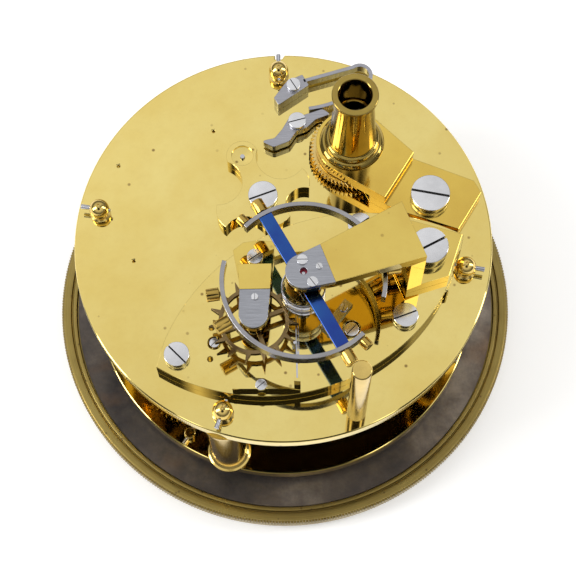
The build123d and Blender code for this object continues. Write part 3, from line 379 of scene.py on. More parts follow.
def coil_of_wire():
    # a coil of round wire, level with its start at the origin
    tree, source = tree_named("coil_of_wire", (
        ("Turns", "NodeSocketFloat"), ("Radius", "NodeSocketFloat"), ("Rise", "NodeSocketFloat"),
        ("Wire", "NodeSocketFloat"), ("Finish", "NodeSocketMaterial")))
    new, wire = tree.nodes.new, tree.links.new
    spiral = new("GeometryNodeCurveSpiral")
    spiral.inputs["Resolution"].default_value = 64
    wire(source.outputs["Turns"], spiral.inputs["Rotations"])
    wire(source.outputs["Radius"], spiral.inputs["Start Radius"])
    wire(source.outputs["Radius"], spiral.inputs["End Radius"])
    wire(source.outputs["Rise"], spiral.inputs["Height"])
    section = new("GeometryNodeCurvePrimitiveCircle")
    section.inputs["Resolution"].default_value = 8
    wire(source.outputs["Wire"], section.inputs["Radius"])
    tube = new("GeometryNodeCurveToMesh")
    wire(spiral.outputs[0], tube.inputs["Curve"])
    wire(section.outputs[0], tube.inputs["Profile Curve"])
    tube.inputs["Fill Caps"].default_value = True
    return close_tree(tree, source, tube)


RIM_TREE = repeat_on_circle()
PLACE_TREE = repeat_at_places()
COIL_TREE = coil_of_wire()


def rim_of(tooth_mesh, count, radius, z, finish):
    tooth = link("tooth", tooth_mesh)
    holder = link("rim", bpy.data.meshes.new("rim"))
    values = {"Tooth": tooth, "Count": count, "Radius": radius * MM, "Height": z * MM, "Finish": finish}
    set_inputs(holder, RIM_TREE, values)
    mesh = baked(holder)
    drop(holder)
    drop(tooth)
    return mesh


def at_places(piece_mesh, places, finish):
    # places are (x, y, z, angle, radius scale, height scale)
    piece = link("piece", piece_mesh)
    points = bpy.data.meshes.new("points")
    points.from_pydata([(x * MM, y * MM, z * MM) for x, y, z, *rest in places], [], [])
    sizes = [c for p in places for c in (p[4], p[4], p[5])]
    turns = [c for p in places for c in (0, 0, math.radians(p[3]))]
    for label, values in (("size", sizes), ("turn", turns)):
        points.attributes.new(label, "FLOAT_VECTOR", "POINT").data.foreach_set("vector", values)
    holder = link("places", points)
    set_inputs(holder, PLACE_TREE, {"Piece": piece, "Finish": finish})
    mesh = baked(holder)
    drop(holder)
    drop(piece)
    return mesh


# Finishes

def tint(color):
    return (color[0], color[1], color[2], 1.0)


def set_stops(band, stops):
    # fills a colour ramp from (place, colour or grey) pairs
    while len(band.elements) < len(stops):
        band.elements.new(0.5)
    for element, (place, shade) in zip(band.elements, stops):
        element.position = place
        element.color = tint(shade if isinstance(shade, tuple) else (shade, shade, shade))


class Finish:
    # a node-based material, put together step by step
    def __init__(self, name, metallic=1.0, rough=0.2, color=(0.8, 0.8, 0.8)):
        self.material = bpy.data.materials.new(name)
        self.material.use_nodes = True
        self.tree = self.material.node_tree
        self.shader = self.tree.nodes["Principled BSDF"]
        self.shader.inputs["Metallic"].default_value = metallic
        self.shader.inputs["Roughness"].default_value = rough
        self.shader.inputs["Base Color"].default_value = tint(color)
        self.place = self.tree.nodes.new("ShaderNodeTexCoord").outputs["Object"]

    def node(self, kind, **settings):
        made = self.tree.nodes.new(kind)
        for key, value in settings.items():
            setattr(made, key, value)
        return made

    def wire(self, a, b):
        self.tree.links.new(a, b)

    def stretched(self, scale, at=(0, 0, 0), angle=0.0):
        mapping = self.node("ShaderNodeMapping")
        self.wire(self.place, mapping.inputs["Vector"])
        mapping.vector_type = "POINT"
        mapping.inputs["Location"].default_value = at
        mapping.inputs["Rotation"].default_value = (0, 0, math.radians(angle))
        mapping.inputs["Scale"].default_value = scale
        return mapping.outputs[0]

    def noise(self, scale, detail=4.0, rough=0.5, vector=None):
        made = self.node("ShaderNodeTexNoise")
        self.wire(vector or self.place, made.inputs["Vector"])
        made.inputs["Scale"].default_value = scale
        made.inputs["Detail"].default_value = detail
        made.inputs["Roughness"].default_value = rough
        return made.outputs["Fac"]

    def specks(self, scale, size, soft=0.06):
        made = self.node("ShaderNodeTexVoronoi")
        self.wire(self.place, made.inputs["Vector"])
        made.inputs["Scale"].default_value = scale
        made.inputs["Randomness"].default_value = 1.0
        return self.ramp(made.outputs["Distance"], ((size, 1.0), (size + soft, 0.0)))

    def ramp(self, value, stops):
        made = self.node("ShaderNodeValToRGB")
        self.wire(value, made.inputs["Fac"])
        set_stops(made.color_ramp, stops)
        return made.outputs["Color"]

    def share(self, value, low, high):
        # none of it below low, all of it above high
        return self.ramp(value, ((low, 0.0), (high, 1.0)))

    def times(self, a, b):
        made = self.node("ShaderNodeMath", operation="MULTIPLY")
        self.wire(a, made.inputs[0])
        if isinstance(b, float):
            made.inputs[1].default_value = b
        else:
            self.wire(b, made.inputs[1])
        return made.outputs[0]

    def mix(self, share, a, b, blend="MIX"):
        made = self.node("ShaderNodeMix", data_type="RGBA", blend_type=blend)
        if isinstance(share, float):
            made.inputs["Factor"].default_value = share
        else:
            self.wire(share, made.inputs["Factor"])
        for socket, value in ((made.inputs[6], a), (made.inputs[7], b)):
            if isinstance(value, tuple):
                socket.default_value = tint(value)
            else:
                self.wire(value, socket)
        return made.outputs[2]

    def color(self, value):
        self.wire(value, self.shader.inputs["Base Color"])

    def rough(self, value, low, high):
        made = self.node("ShaderNodeMapRange")
        self.wire(value, made.inputs["Value"])
        made.inputs["To Min"].default_value = low
        made.inputs["To Max"].default_value = high
        self.wire(made.outputs[0], self.shader.inputs["Roughness"])

    def bump(self, value, depth, strength=1.0):
        made = self.node("ShaderNodeBump")
        made.inputs["Strength"].default_value = strength
        made.inputs["Distance"].default_value = depth * MM
        self.wire(value, made.inputs["Height"])
        self.wire(made.outputs[0], self.shader.inputs["Normal"])

    def ring_lines(self, at, scale):
        # fine lines round an upright axis
        shifted = self.stretched((1, 1, 0), (-at[0] * MM, -at[1] * MM, 0))
        length = self.node("ShaderNodeVectorMath", operation="LENGTH")
        self.wire(shifted, length.inputs[0])
        made = self.node("ShaderNodeTexNoise", noise_dimensions="1D")
        self.wire(length.outputs["Value"], made.inputs["W"])
        made.inputs["Scale"].default_value = scale
        made.inputs["Detail"].default_value = 3.0
        return made.outputs["Fac"]


def polished_brass(name, base=(0.86, 0.70, 0.25), deep=(0.80, 0.61, 0.18), spots=0.8, rough=(0.02, 0.07)):
    f = Finish(name)
    clouds = f.share(f.noise(55, 5, 0.6), 0.35, 0.7)
    tone = f.mix(clouds, base, deep)
    haze = f.share(f.noise(300, 6, 0.7), 0.45, 0.75)
    tone = f.mix(f.times(haze, 0.16), tone, (0.66, 0.45, 0.12))
    dots = f.times(f.specks(260, 0.05), spots)
    patches = f.share(f.noise(90, 2), 0.36, 0.56)
    tone = f.mix(f.times(dots, patches), tone, (0.20, 0.11, 0.035))
    f.color(tone)
    f.rough(f.noise(180, 5, 0.6), *rough)
    f.bump(f.noise(900, 3, 0.6), 0.0004, 0.12)
    return f.material


def turned_brass(name, base=(0.80, 0.58, 0.18), rough=(0.08, 0.2)):
    f = Finish(name)
    clouds = f.share(f.noise(160, 4, 0.6), 0.3, 0.75)
    f.color(f.mix(clouds, base, tuple(0.76 * c for c in base)))
    f.rough(f.noise(400, 4), *rough)
    f.bump(f.noise(1500, 2), 0.001, 0.15)
    return f.material


def milled_brass(name):
    f = Finish(name)
    lines = f.ring_lines((0, 0), 9000)
    clouds = f.share(f.noise(70, 6, 0.65), 0.3, 0.72)
    tone = f.mix(clouds, (0.35, 0.26, 0.075), (0.22, 0.155, 0.045))
    tone = f.mix(f.times(f.share(lines, 0.4, 0.7), 0.5), tone, (0.46, 0.355, 0.12))
    pits = f.times(f.specks(420, 0.07), 0.7)
    f.color(f.mix(pits, tone, (0.10, 0.06, 0.03)))
    f.rough(clouds, 0.22, 0.42)
    f.bump(lines, 0.012, 0.4)
    return f.material


def tarnished_brass(name):
    f = Finish(name, metallic=0.75)
    big = f.noise(38, 7, 0.68)
    small = f.noise(240, 6, 0.7, f.stretched((1, 1, 1), (3, 1, 0)))
    tone = f.ramp(big, ((0.28, (0.03, 0.028, 0.03)), (0.45, (0.10, 0.085, 0.075)),
                        (0.56, (0.17, 0.14, 0.115)), (0.68, (0.30, 0.255, 0.21)), (0.8, (0.42, 0.37, 0.31))))
    warm = f.share(f.noise(60, 3, 0.5, f.stretched((1, 1, 1), (7, 2, 0))), 0.55, 0.75)
    tone = f.mix(f.times(warm, 0.6), tone, (0.26, 0.13, 0.05))
    tone = f.mix(f.times(f.share(small, 0.45, 0.7), 0.45), tone, (0.05, 0.045, 0.05))
    f.color(tone)
    f.rough(small, 0.22, 0.5)
    f.bump(small, 0.01, 0.5)
    return f.material


def bright_steel(name, base=(0.62, 0.62, 0.66), rough=(0.12, 0.25)):
    f = Finish(name)
    clouds = f.share(f.noise(200, 4, 0.6), 0.3, 0.75)
    f.color(f.mix(clouds, base, tuple(0.78 * c for c in base)))
    f.rough(f.noise(700, 3), *rough)
    f.bump(f.noise(2500, 2), 0.002, 0.3)
    return f.material


def grained_steel(name, angle, base=(0.44, 0.45, 0.49)):
    # fine straight grain along angle
    f = Finish(name)
    grain = f.noise(1, 3, 0.6, f.stretched((260, 7000, 260), angle=-angle))
    f.color(f.mix(f.share(grain, 0.3, 0.7), base, tuple(0.72 * c for c in base)))
    f.rough(grain, 0.22, 0.36)
    f.bump(grain, 0.004, 0.5)
    return f.material


def blued_steel(name):
    f = Finish(name)
    clouds = f.share(f.noise(150, 3), 0.3, 0.7)
    f.color(f.mix(clouds, (0.035, 0.115, 0.36), (0.028, 0.06, 0.30)))
    f.rough(f.noise(900, 3), 0.1, 0.2)
    return f.material


def plain(name, color, rough=0.4, metallic=0.0, grain=600):
    f = Finish(name, metallic)
    f.color(f.mix(f.noise(grain, 3), color, tuple(0.8 * c for c in color)))
    f.rough(f.noise(grain, 3), 0.8 * rough, 1.2 * rough)
    return f.material


def clear_glass(name, color=(0.95, 0.98, 0.97)):
    f = Finish(name, 0.0, 0.02, color)
    f.shader.inputs["Transmission Weight"].default_value = 1.0
    f.shader.inputs["IOR"].default_value = 1.5
    f.rough(f.noise(40, 2), 0.0, 0.03)
    return f.material


PLATE_BRASS = polished_brass("plate_brass")
COCK_BRASS = polished_brass("cock_brass", (0.80, 0.61, 0.155), (0.72, 0.51, 0.12), 0.4)
BRIDGE_BRASS = polished_brass("bridge_brass", (0.80, 0.57, 0.12), (0.68, 0.46, 0.09), 0.3, (0.05, 0.13))
TURNED_BRASS = turned_brass("turned_brass")
TUBE_BRASS = turned_brass("tube_brass", (0.42, 0.30, 0.075), (0.06, 0.14))
ESCAPE_BRONZE = polished_brass("escape_bronze", (0.24, 0.165, 0.075), (0.15, 0.10, 0.045), 0.2,
                               (0.14, 0.3))
WEIGHT_BRASS = turned_brass("weight_brass", (0.55, 0.37, 0.09))
WHEEL_BRASS = polished_brass("wheel_brass", (0.78, 0.60, 0.24), (0.66, 0.47, 0.16), 0.2, (0.14, 0.28))
BEZEL_BRASS = milled_brass("bezel_brass")
DIAL_BACK = tarnished_brass("dial_back")
STEEL = bright_steel("bright_steel")
SCREW_STEEL = bright_steel("screw_steel", (0.80, 0.80, 0.82), (0.14, 0.24))
DARK_STEEL = bright_steel("train_steel", (0.40, 0.39, 0.40))
COCK_GRAIN = grained_steel("end_plate_steel", 30)
ESCAPE_GRAIN = grained_steel("escape_end_plate_steel", 90)
CLICK_STEEL = grained_steel("click_steel", 20, (0.46, 0.46, 0.50))
BLUE = blued_steel("blued_steel")
RUBY = plain("jewel_ruby", (0.45, 0.02, 0.05), 0.1)
SILVERED = plain("silvered_dial", (0.78, 0.77, 0.72), 0.35, 0.4, 900)
INK = plain("dial_ink", (0.02, 0.02, 0.025), 0.5)
SLOT_DARK = plain("slot_shadow", (0.02, 0.018, 0.016), 0.6)
GLASS = clear_glass("bezel_glass_clear")

SLOT_FINISH = {
    "case_brass": BEZEL_BRASS, "dial_brass": DIAL_BACK, "plate_brass": PLATE_BRASS,
    "turned_brass": TURNED_BRASS, "wheel_brass": WHEEL_BRASS, "steel": STEEL, "screw_steel": SCREW_STEEL,
    "end_plate_steel": COCK_GRAIN, "blued_steel": BLUE, "jewel": RUBY, "glass": GLASS,
}
SLOT_OF = {part["node"]: part["material_slot"] for part in frame["record"]["subparts"]}
BODIES = frame["record"]["behaviour"]["bodies"]
BODY_OF = {node: body for body, members in BODIES.items() for node in members}


def dress(node, finish):
    nodes[node].data.materials.clear()
    nodes[node].data.materials.append(finish)


for node_name in nodes:
    dress(node_name, SLOT_FINISH[SLOT_OF[node_name]])


def fit(name, mesh, finish, *stands_for, body=None, slot=None):
    # a finished piece: its material, its body and the solids that it stands for
    piece = link(name, mesh)
    if finish is not None:
        mesh.materials.clear()
        mesh.materials.append(finish)
    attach(piece, body or BODY_OF[stands_for[0]])
    if stands_for:
        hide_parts(*stands_for)
    return piece


# Bezel and dial

BEZEL_R = radius_of("bezel_ring")
MILLING_TEETH = 480
MILLING_DEPTH = 0.35
MILLING_H = 2.9
MILLING_Z = 4.6


def bezel():
    tooth_r = BEZEL_R - 0.02
    root = tooth_r - MILLING_DEPTH
    section = [(42.9, 2.22), (44.52, 2.22), (44.52, 0.02), (48.8, 0.02), (49.4, 0.5), (root - 0.1, 0.9),
               (root - 0.1, 2.7), (root, 3.1), (root, 6.05), (root - 0.15, 6.45), (47.9, 6.48), (47.82, 6.3),
               (47.78, 5.82), (47.5, 5.8), (47.42, 6.3), (46.65, 6.3), (46.6, 6.15), (46.6, 4.9), (45.1, 4.9),
               (42.9, 3.7)]
    ring = turned(section, ease=0.1, count=240)
    return ring, tooth_r, root


def milling(tooth_r, root):
    # the fine teeth of the edge, each let into the ring behind it
    depth = tooth_r - root + 0.15
    outline = [(-depth, -0.30), (-depth * 0.45, -0.26), (0.0, -0.10), (0.0, 0.10), (-depth * 0.45, 0.26),
               (-depth, 0.30)]
    tooth = flat([outline], -MILLING_H / 2, MILLING_H / 2, 0.04, 0)
    return rim_of(tooth, MILLING_TEETH, tooth_r, MILLING_Z, BEZEL_BRASS)


ring_mesh, tooth_r, root_r = bezel()
bezel_mesh = joined([ring_mesh, milling(tooth_r, root_r)])
fit("bezel", bezel_mesh, BEZEL_BRASS, "bezel_ring")

FACE_TOP = DIAL_Z + 0.1
NOON = bearing(FOURTH_AT, CENTRE_AT)
DIAL_FEET = [polar(CENTRE_AT, 38.2, a) for a in (237.5, 335.5, 103.0)]
HOUR_PIPE_HOLE_R = 2.3
SECONDS_HOLE_R = 0.75
FOOT_R = 1.2
FOOT_FLANGE_R = 1.5
MARK_H = 0.02  # how far the strokes and numbers stand proud of the face
MINUTE_RING = (40.4, 41.9, 0.16)  # inner and outer radius, stroke width
SECONDS_RING = (9.4, 10.4, 0.12)
HOUR_NUMBERS = (36.8, 6.0)  # radius, size
SECONDS_NUMBERS = (7.6, 2.4)


def dial_disc(z0, z1):
    holes = [circle(HOUR_PIPE_HOLE_R, count=48), circle(SECONDS_HOLE_R, FOURTH_AT, 24)]
    return flat([circle(DIAL_R, count=200)] + holes, z0, z1, 0.02, 0)


def dial_feet():
    z1 = top_of("dial")
    section = [(0, DIAL_TOP - 0.1), (FOOT_FLANGE_R, DIAL_TOP - 0.1), (FOOT_FLANGE_R, DIAL_TOP + 0.2),
               (FOOT_R, DIAL_TOP + 0.4), (FOOT_R, z1 - 0.2), (FOOT_R - 0.2, z1), (0, z1)]
    return joined([turned(section, at, 0.05, 48) for at in DIAL_FEET])


def ticks(at, r0, r1, width):
    # sixty strokes round a centre, every fifth one wider
    strokes = []
    for k in range(60):
        a = NOON + 6 * k
        wide = width * (2.2 if k % 5 == 0 else 1.0)
        middle = polar(at, (r0 + r1) / 2, a)
        strokes.append(block(r1 - r0, wide, DIAL_Z - MARK_H, DIAL_Z + MARK_H, middle, a, 0.0))
    return strokes


def numeral(text, size, at):
    # a plain number, read from below with the noon mark upwards
    curve = bpy.data.curves.new("numeral", "FONT")
    curve.body = text
    curve.size = size
    curve.align_x = "CENTER"
    curve.align_y = "CENTER"
    curve.extrude = MARK_H
    curve.resolution_u = 3
    shape = link("numeral", curve)
    mesh = baked(shape)
    drop(shape)
    mesh.transform(Matrix.Scale(MM, 4) @ Matrix.Rotation(math.pi, 4, "Y"))
    return settle(moved(mesh, at, DIAL_Z, NOON - 90))


def dial_marks():
    marks = ticks(CENTRE_AT, *MINUTE_RING) + ticks(FOURTH_AT, *SECONDS_RING)
    r, size = HOUR_NUMBERS
    for hour in range(1, 13):
        marks.append(numeral(str(hour), size, polar(CENTRE_AT, r, NOON + 30 * hour)))
    r, size = SECONDS_NUMBERS
    for k in range(1, 7):
        marks.append(numeral(str(10 * k), size, polar(FOURTH_AT, r, NOON + 60 * k)))
    return joined(marks)


fit("dial_plate_tarnished", dial_disc(FACE_TOP, DIAL_TOP), DIAL_BACK, "dial")
fit("dial_face_silvered", dial_disc(DIAL_Z, FACE_TOP), SILVERED, body=BODY_OF["dial"], slot=SLOT_OF["dial"])
fit("dial_feet_turned", dial_feet(), TURNED_BRASS, body=BODY_OF["dial"], slot=SLOT_OF["dial"])
fit("dial_marks", dial_marks(), INK, body=BODY_OF["dial"], slot=SLOT_OF["dial"])


# Plates and pillars

PLATE_EDGE = 0.3
NOTCH_HALF_W = 0.7
NOTCH_FLOOR_Y = 41.1
NOTCH_TURN = 1.4  # degrees of rim that the notch takes on either side
PIN_HOLES_AT = ((-14.0, 24.5), (-33.5, 17.0), (-30.0, -4.0))
PIN_HOLE_R = 0.25
CENTRE_HOLE_R = 0.95
MINUTE_STUD_R = 0.9


def top_plate():
    notch_x = PILLARS_AT[0][0]
    rim = arc(CENTRE_AT, PLATE_R, 90 + NOTCH_TURN, 360 - 2 * NOTCH_TURN, 260)
    outline = rim + [(notch_x + NOTCH_HALF_W, NOTCH_FLOOR_Y), (notch_x - NOTCH_HALF_W, NOTCH_FLOOR_Y)]
    holes = [circle(PIN_HOLE_R, at, 24) for at in PIN_HOLES_AT]
    return flat([outline] + holes, PLATE_Z, TOP, PLATE_EDGE, 2)


def pillar_plate():
    # with the stud that the minute wheel turns on, below it
    foot = foot_of("pillar_plate")
    rim = circle(PILLAR_PLATE_R, count=240)
    plate = flat([rim, circle(CENTRE_HOLE_R, count=32)], PILLAR_PLATE_Z, PILLAR_TOP, PLATE_EDGE, 2)
    section = [(0, foot), (MINUTE_STUD_R, foot), (MINUTE_STUD_R, PILLAR_PLATE_Z), (0, PILLAR_PLATE_Z)]
    return joined([plate, turned(section, MINUTE_STUD_AT, 0.1, 32)])


fit("top_plate_polished", top_plate(), PLATE_BRASS, "top_plate")
fit("pillar_plate_polished", pillar_plate(), PLATE_BRASS, "pillar_plate")

SPIGOT_R = 1.8
COLLAR_R = 4.5


def ball_curve(z):
    # the ball's outline from its neck to the small flat on its top
    turns = [math.radians(a) for a in range(-50, 85, 6)]
    return [(BALL_R * math.cos(a), z + BALL_R * math.sin(a)) for a in turns]


def pillar(at):
    # foot, collar, barrel, collar, spigot, neck ring and ball, from below
    z0, z1 = PILLAR_TOP, PLATE_Z
    ball_z = TOP + BALL_LIFT
    section = [
        (0, z0 - 2.5), (SPIGOT_R, z0 - 2.5), (SPIGOT_R, z0), (COLLAR_R, z0), (COLLAR_R, z0 + 1.0),
        (4.1, z0 + 1.2), (4.15, z0 + 1.7), (3.7, z0 + 2.1), (3.9, z0 + 13), (3.7, z1 - 2.1), (4.15, z1 - 1.7),
        (4.1, z1 - 1.2), (COLLAR_R, z1 - 1.0), (COLLAR_R, z1), (SPIGOT_R, z1), (SPIGOT_R, TOP - 0.1),
        (2.1, TOP + 0.02), (2.1, TOP + 0.3), (1.2, TOP + 0.55),
    ] + ball_curve(ball_z) + [(0.35, ball_z + 1.97), (0.2, ball_z + 1.75), (0, ball_z + 1.7)]
    return turned(section, at, 0.0, 96)


fit("pillars_turned", joined([pillar(at) for at in PILLARS_AT]), TURNED_BRASS, "pillars")

PILLAR_PIN_L = 6.0
PILLAR_PIN_OUT = 0.7


def taper_pin(at, z, angle, length, r=0.5):
    section = [(0, -length / 2), (0.68 * r, -length / 2), (r, length / 2), (0, length / 2)]
    return laid(turned(section, (0, 0), 0.1, 32), at, z, angle)


def pillar_pins():
    pins = []
    for at in PILLARS_AT:
        out = bearing(CENTRE_AT, at)
        pins.append(taper_pin(polar(at, PILLAR_PIN_OUT, out), TOP + BALL_LIFT, out, PILLAR_PIN_L))
    return joined(pins)


fit("pillar_pins_steel", pillar_pins(), STEEL, "pillar_taper_pins")


# Screws

SLOT_W = 0.13
SLOT_FLOOR = 0.55


def screw_head():
    # a head of radius 1 and height 1 in millimetres, slotted along X
    head = turned([(0, 0), (1.0, 0), (1.0, 1.0), (0, 1.0)], (0, 0), 0.05, 96)
    slot = block(2.6, SLOT_W, SLOT_FLOOR, 1.5, (0, 0), 0, 0.0)
    return cut(head, slot, 0.012)


def slot_floor():
    # painted shade: a dark block on the floor of the slot of a head of radius 1 and height 1
    return block(1.93, SLOT_W - 0.005, SLOT_FLOOR - 0.03, SLOT_FLOOR + 0.07, (0, 0), 0, 0.0)


# Each screw as x, y, the height of its seat, the angle of its slot, head radius and head height
SCREWS = {
    "sub_plate_screws": [(-20.9, -25.3, SUB_TOP, -46, 2.45, 1.7), (23.5, -18.2, SUB_TOP, 20, 2.45, 1.7),
                         (15.3, 1.0, SUB_TOP, 35, 2.45, 1.7)],
    "plate_screws": [(29.6, 7.4, TOP + 3.0, -12, 3.9, 2.1), (-3.9, 8.2, TOP + 2.5, 20, 2.95, 1.6)],
    "click_screws": [(3.3, 24.9, TOP + 2.65, 15, 1.8, 0.9), (2.7, 33.3, TOP + 2.6, -60, 1.45, 0.8)],
    "escapement_screws": [(-5.6, -6.0, SUB_TOP + 2.2, 35, 1.55, 0.9),
                          (-5.6, -16.2, ESCAPE_TOP, 90, 0.65, 0.3),
                          (-4.7, -32.0, SUB_TOP + 1.9, 40, 1.1, 0.6),
                          (11.5, -16.4, SUB_TOP + 1.0, 70, 0.8, 0.4),
                          (13.0, -20.4, SUB_TOP - 0.5, 45, 1.4, 0.5),
                          (-13.7, -22.7, SUB_TOP - 0.3, 45, 0.95, 0.5)],
    "balance_cock_screws": [(28.4, -5.6, SUB_TOP + 3.0, 27, 3.7, 3.2), (3.5, -12.9, COCK_TOP, 0, 1.0, 0.35),
                            (5.3, -17.3, COCK_TOP, -55, 1.0, 0.35), (6.6, -14.2, COCK_TOP, -60, 0.6, 0.25)],
}
for node_name, places in SCREWS.items():
    fit(node_name + "_slotted", at_places(screw_head(), places, SCREW_STEEL), None, node_name)
    # a dark block of painted shade lies on the floor of each screw's slot
    fit(node_name + "_slots", at_places(slot_floor(), places, SLOT_DARK), None,
        body=BODY_OF[node_name], slot=SLOT_OF[node_name])


# Escapement plate, cocks and bridge

SUB_TIP = (-24.9, -27.4)
SUB_LEFT = (-23.5, -22.3)
SUB_RIGHT = (35.9, -1.1)
SUB_FRONT = (6.9, -32.3)
SUB_BACK = (8.8, 3.6)
BALL_ROOM = 2.6
SUB_HOLES = ((0.55, (-14.2, -19.6)), (0.55, (-14.5, -26.0)), (0.4, (31.9, -12.7)), (1.75, (13.0, -20.4)),
             (1.3, (-13.7, -22.7)), (1.4, ESCAPE_AT))


def sub_plate():
    # two long arcs, the front one hollowed round the right pillar's ball
    front = arc_through(SUB_TIP, SUB_FRONT, SUB_RIGHT, 72)
    back = arc_through(SUB_RIGHT, SUB_BACK, SUB_LEFT, 72)
    ball = PILLARS_AT[3]
    edge = [p for p in front if math.dist(p, ball) > BALL_ROOM]
    split = next(i for i, p in enumerate(edge) if p[0] > ball[0] - 2.5 and p[1] > ball[1])
    scallop = arc_through(edge[split - 1], (33.55, -7.0), edge[split], 8)[1:-1]
    outline = edge[:split] + scallop + edge[split:] + back[1:]
    holes = [circle(r, at, 40 if r > 1.3 else 32 if r > 1 else 24) for r, at in SUB_HOLES]
    return flat([outline] + holes, TOP, SUB_TOP, 0.1, 2)


fit("sub_plate_polished", sub_plate(), PLATE_BRASS, "sub_plate")

TRAIN_COCK_SCREW = (-3.9, 8.2)
TRAIN_COCK_T = 2.5
REAR_LOBE_R = 3.3
WAIST_R = 4.8
SINK_R = 2.2
SINK_DEPTH = 0.8
PIVOT_R = 0.5


def train_cock():
    # four lobes round the screw, with hollow sides between them and a sunk pivot in the rear one
    c, n = TRAIN_COCK_SCREW, INTERMEDIATE_AT
    aim = bearing(c, n)
    lobes = (
        ((5.4, 10.1), (5.4, 12.6), (4.1, 14.6)),
        tuple(polar(n, REAR_LOBE_R, aim + turn) for turn in (-90, 0, 90)),
        ((-13.2, 6.8), (-13.1, 4.2), (-11.4, 1.9)),
        ((-3.6, 2.0), (-0.9, 2.2), (1.5, 4.1)),
    )
    outline = []
    for k, (a, m, b) in enumerate(lobes):
        outline += arc_through(a, m, b, 14)
        nxt = lobes[(k + 1) % 4]
        mid = bearing(c, m) + (bearing(c, nxt[1]) - bearing(c, m)) % 360 / 2
        outline += arc_through(b, polar(c, WAIST_R, mid), nxt[0], 18)[1:-1]
    z0, z1 = TOP, TOP + TRAIN_COCK_T
    plate = flat([outline, circle(SINK_R, n, 48)], z0, z1, 0.06, 1)
    wall, floor = SINK_R + 0.05, z1 - SINK_DEPTH
    sink = [(1.2, z0), (wall, z0), (wall, z1 - 0.55), (0.8, floor), (PIVOT_R, floor), (PIVOT_R, z0 + 0.8),
            (1.2, z0 + 0.8)]
    return joined([plate, turned(sink, n, 0.0, 48)])


fit("train_cock_polished", train_cock(), PLATE_BRASS, "train_cock")

BRIDGE_BLOCK = ((20.4, 6.2), (26.6, 16.0))  # its two outer corners
BRIDGE_FOOT = ((20.4, 6.2), (22.4, 4.9), (35.0, 0.3), (40.0, 8.2), (38.7, 10.8), (26.6, 16.0))
RATCHET_TOP = top_of("ratchet_wheel")
BRIDGE_TOP = top_of("winding_bridge")
BRIDGE_FOOT_T = 3.0
BRIDGE_END_R = 7.2
TUBE_BORE_R = 2.9
TUBE_Z = foot_of("winding_tube")
OVER_RATCHET = 0.3


def winding_bridge():
    # a deck over the ratchet with the tube's seat in it, its heel beside the ratchet and its foot
    under = RATCHET_TOP + OVER_RATCHET
    deck = [BRIDGE_BLOCK[0], BRIDGE_BLOCK[1]] + arc(BARREL_AT, BRIDGE_END_R, 57.7, 180, 40)
    upper = flat([deck, circle(6.45, BARREL_AT, 80)], under, BRIDGE_TOP, 0.08, 1)
    seat_ring = [circle(BRIDGE_END_R - 0.1, BARREL_AT, 80), circle(TUBE_BORE_R, BARREL_AT, 48)]
    seat = flat(seat_ring, under, TUBE_Z, 0.05, 1)
    heel = [BRIDGE_BLOCK[0], BRIDGE_BLOCK[1], (24.2, 17.5)]
    heel += arc_through((20.9, 17.9), (22.8, 14.5), (16.6, 10.1), 14) + [(17.7, 7.9)]
    lower = flat([heel], TOP, under + 0.1, 0.05, 1)
    foot = flat([list(BRIDGE_FOOT)], TOP, TOP + BRIDGE_FOOT_T, 0.08, 1)
    return joined([upper, seat, lower, foot])


fit("winding_bridge_polished", winding_bridge(), BRIDGE_BRASS, "winding_bridge")

TUBE_FLANGE_R = 6.4
TUBE_FLANGE_T = 2.4
TUBE_LIP_R = 4.5
TUBE_GUIDE_R = 3.2
TUBE_GUIDE_L = 8.3


def winding_tube():
    # flange, moulding, tapered neck and lip, from below, with the wider guide inside its mouth
    base, top = TUBE_Z, top_of("winding_tube")
    flange = base + TUBE_FLANGE_T
    section = [
        (TUBE_BORE_R, base), (TUBE_FLANGE_R, base), (TUBE_FLANGE_R, flange - 0.2), (6.2, flange),
        (5.9, flange + 0.3), (5.5, flange + 0.35), (5.5, flange + 1.1), (5.25, flange + 1.5),
        (5.0, flange + 1.7), (4.75, flange + 1.75), (3.75, top - 1.4), (3.85, top - 0.95),
        (TUBE_LIP_R, top - 0.7), (TUBE_LIP_R, top - 0.1), (4.4, top), (3.35, top), (TUBE_GUIDE_R, top - 0.15),
        (TUBE_GUIDE_R, top - TUBE_GUIDE_L), (TUBE_BORE_R, top - TUBE_GUIDE_L),
    ]
    return turned(section, BARREL_AT, 0.06, 128)


fit("winding_tube_turned", winding_tube(), TUBE_BRASS, "winding_tube")

RATCHET_TEETH = 60
RATCHET_R = 8.6
SQUARE_HALF_W = 1.61


def ratchet():
    # slanting teeth, and a square hole for the winding arbor
    outline = []
    for k in range(RATCHET_TEETH):
        a = 360 / RATCHET_TEETH * k
        outline += [polar(BARREL_AT, RATCHET_R, a), polar(BARREL_AT, RATCHET_R - 0.4, a + 0.3)]
        outline += [polar(BARREL_AT, RATCHET_R - 0.85, a + 0.9), polar(BARREL_AT, RATCHET_R - 0.65, a + 2.6)]
    square = [polar(BARREL_AT, SQUARE_HALF_W * math.sqrt(2), a) for a in (45, 135, 225, 315)]
    return flat([outline, square], foot_of("ratchet_wheel"), RATCHET_TOP, 0.04, 1)


fit("ratchet_wheel_cut", ratchet(), WHEEL_BRASS, "ratchet_wheel")

COCK_ARM = ((26.6, -12.6), (22.4, -1.5), (6.9, -9.8), (9.6, -17.4))
COCK_FOOT = ((35.3, -2.1), (32.2, -10.8), (23.9, -13.3), (19.4, -1.6), (20.6, 1.7), (25.7, 0.9))
COCK_ARM_T = 2.5
COCK_FOOT_T = 3.0
COCK_END_T = 1.1
COCK_NOSE_R = 3.4
RISER_T = 3.0
JEWEL_HOLE_R = 1.12
SUNK = 0.1  # how far joined blocks of one piece reach into each other


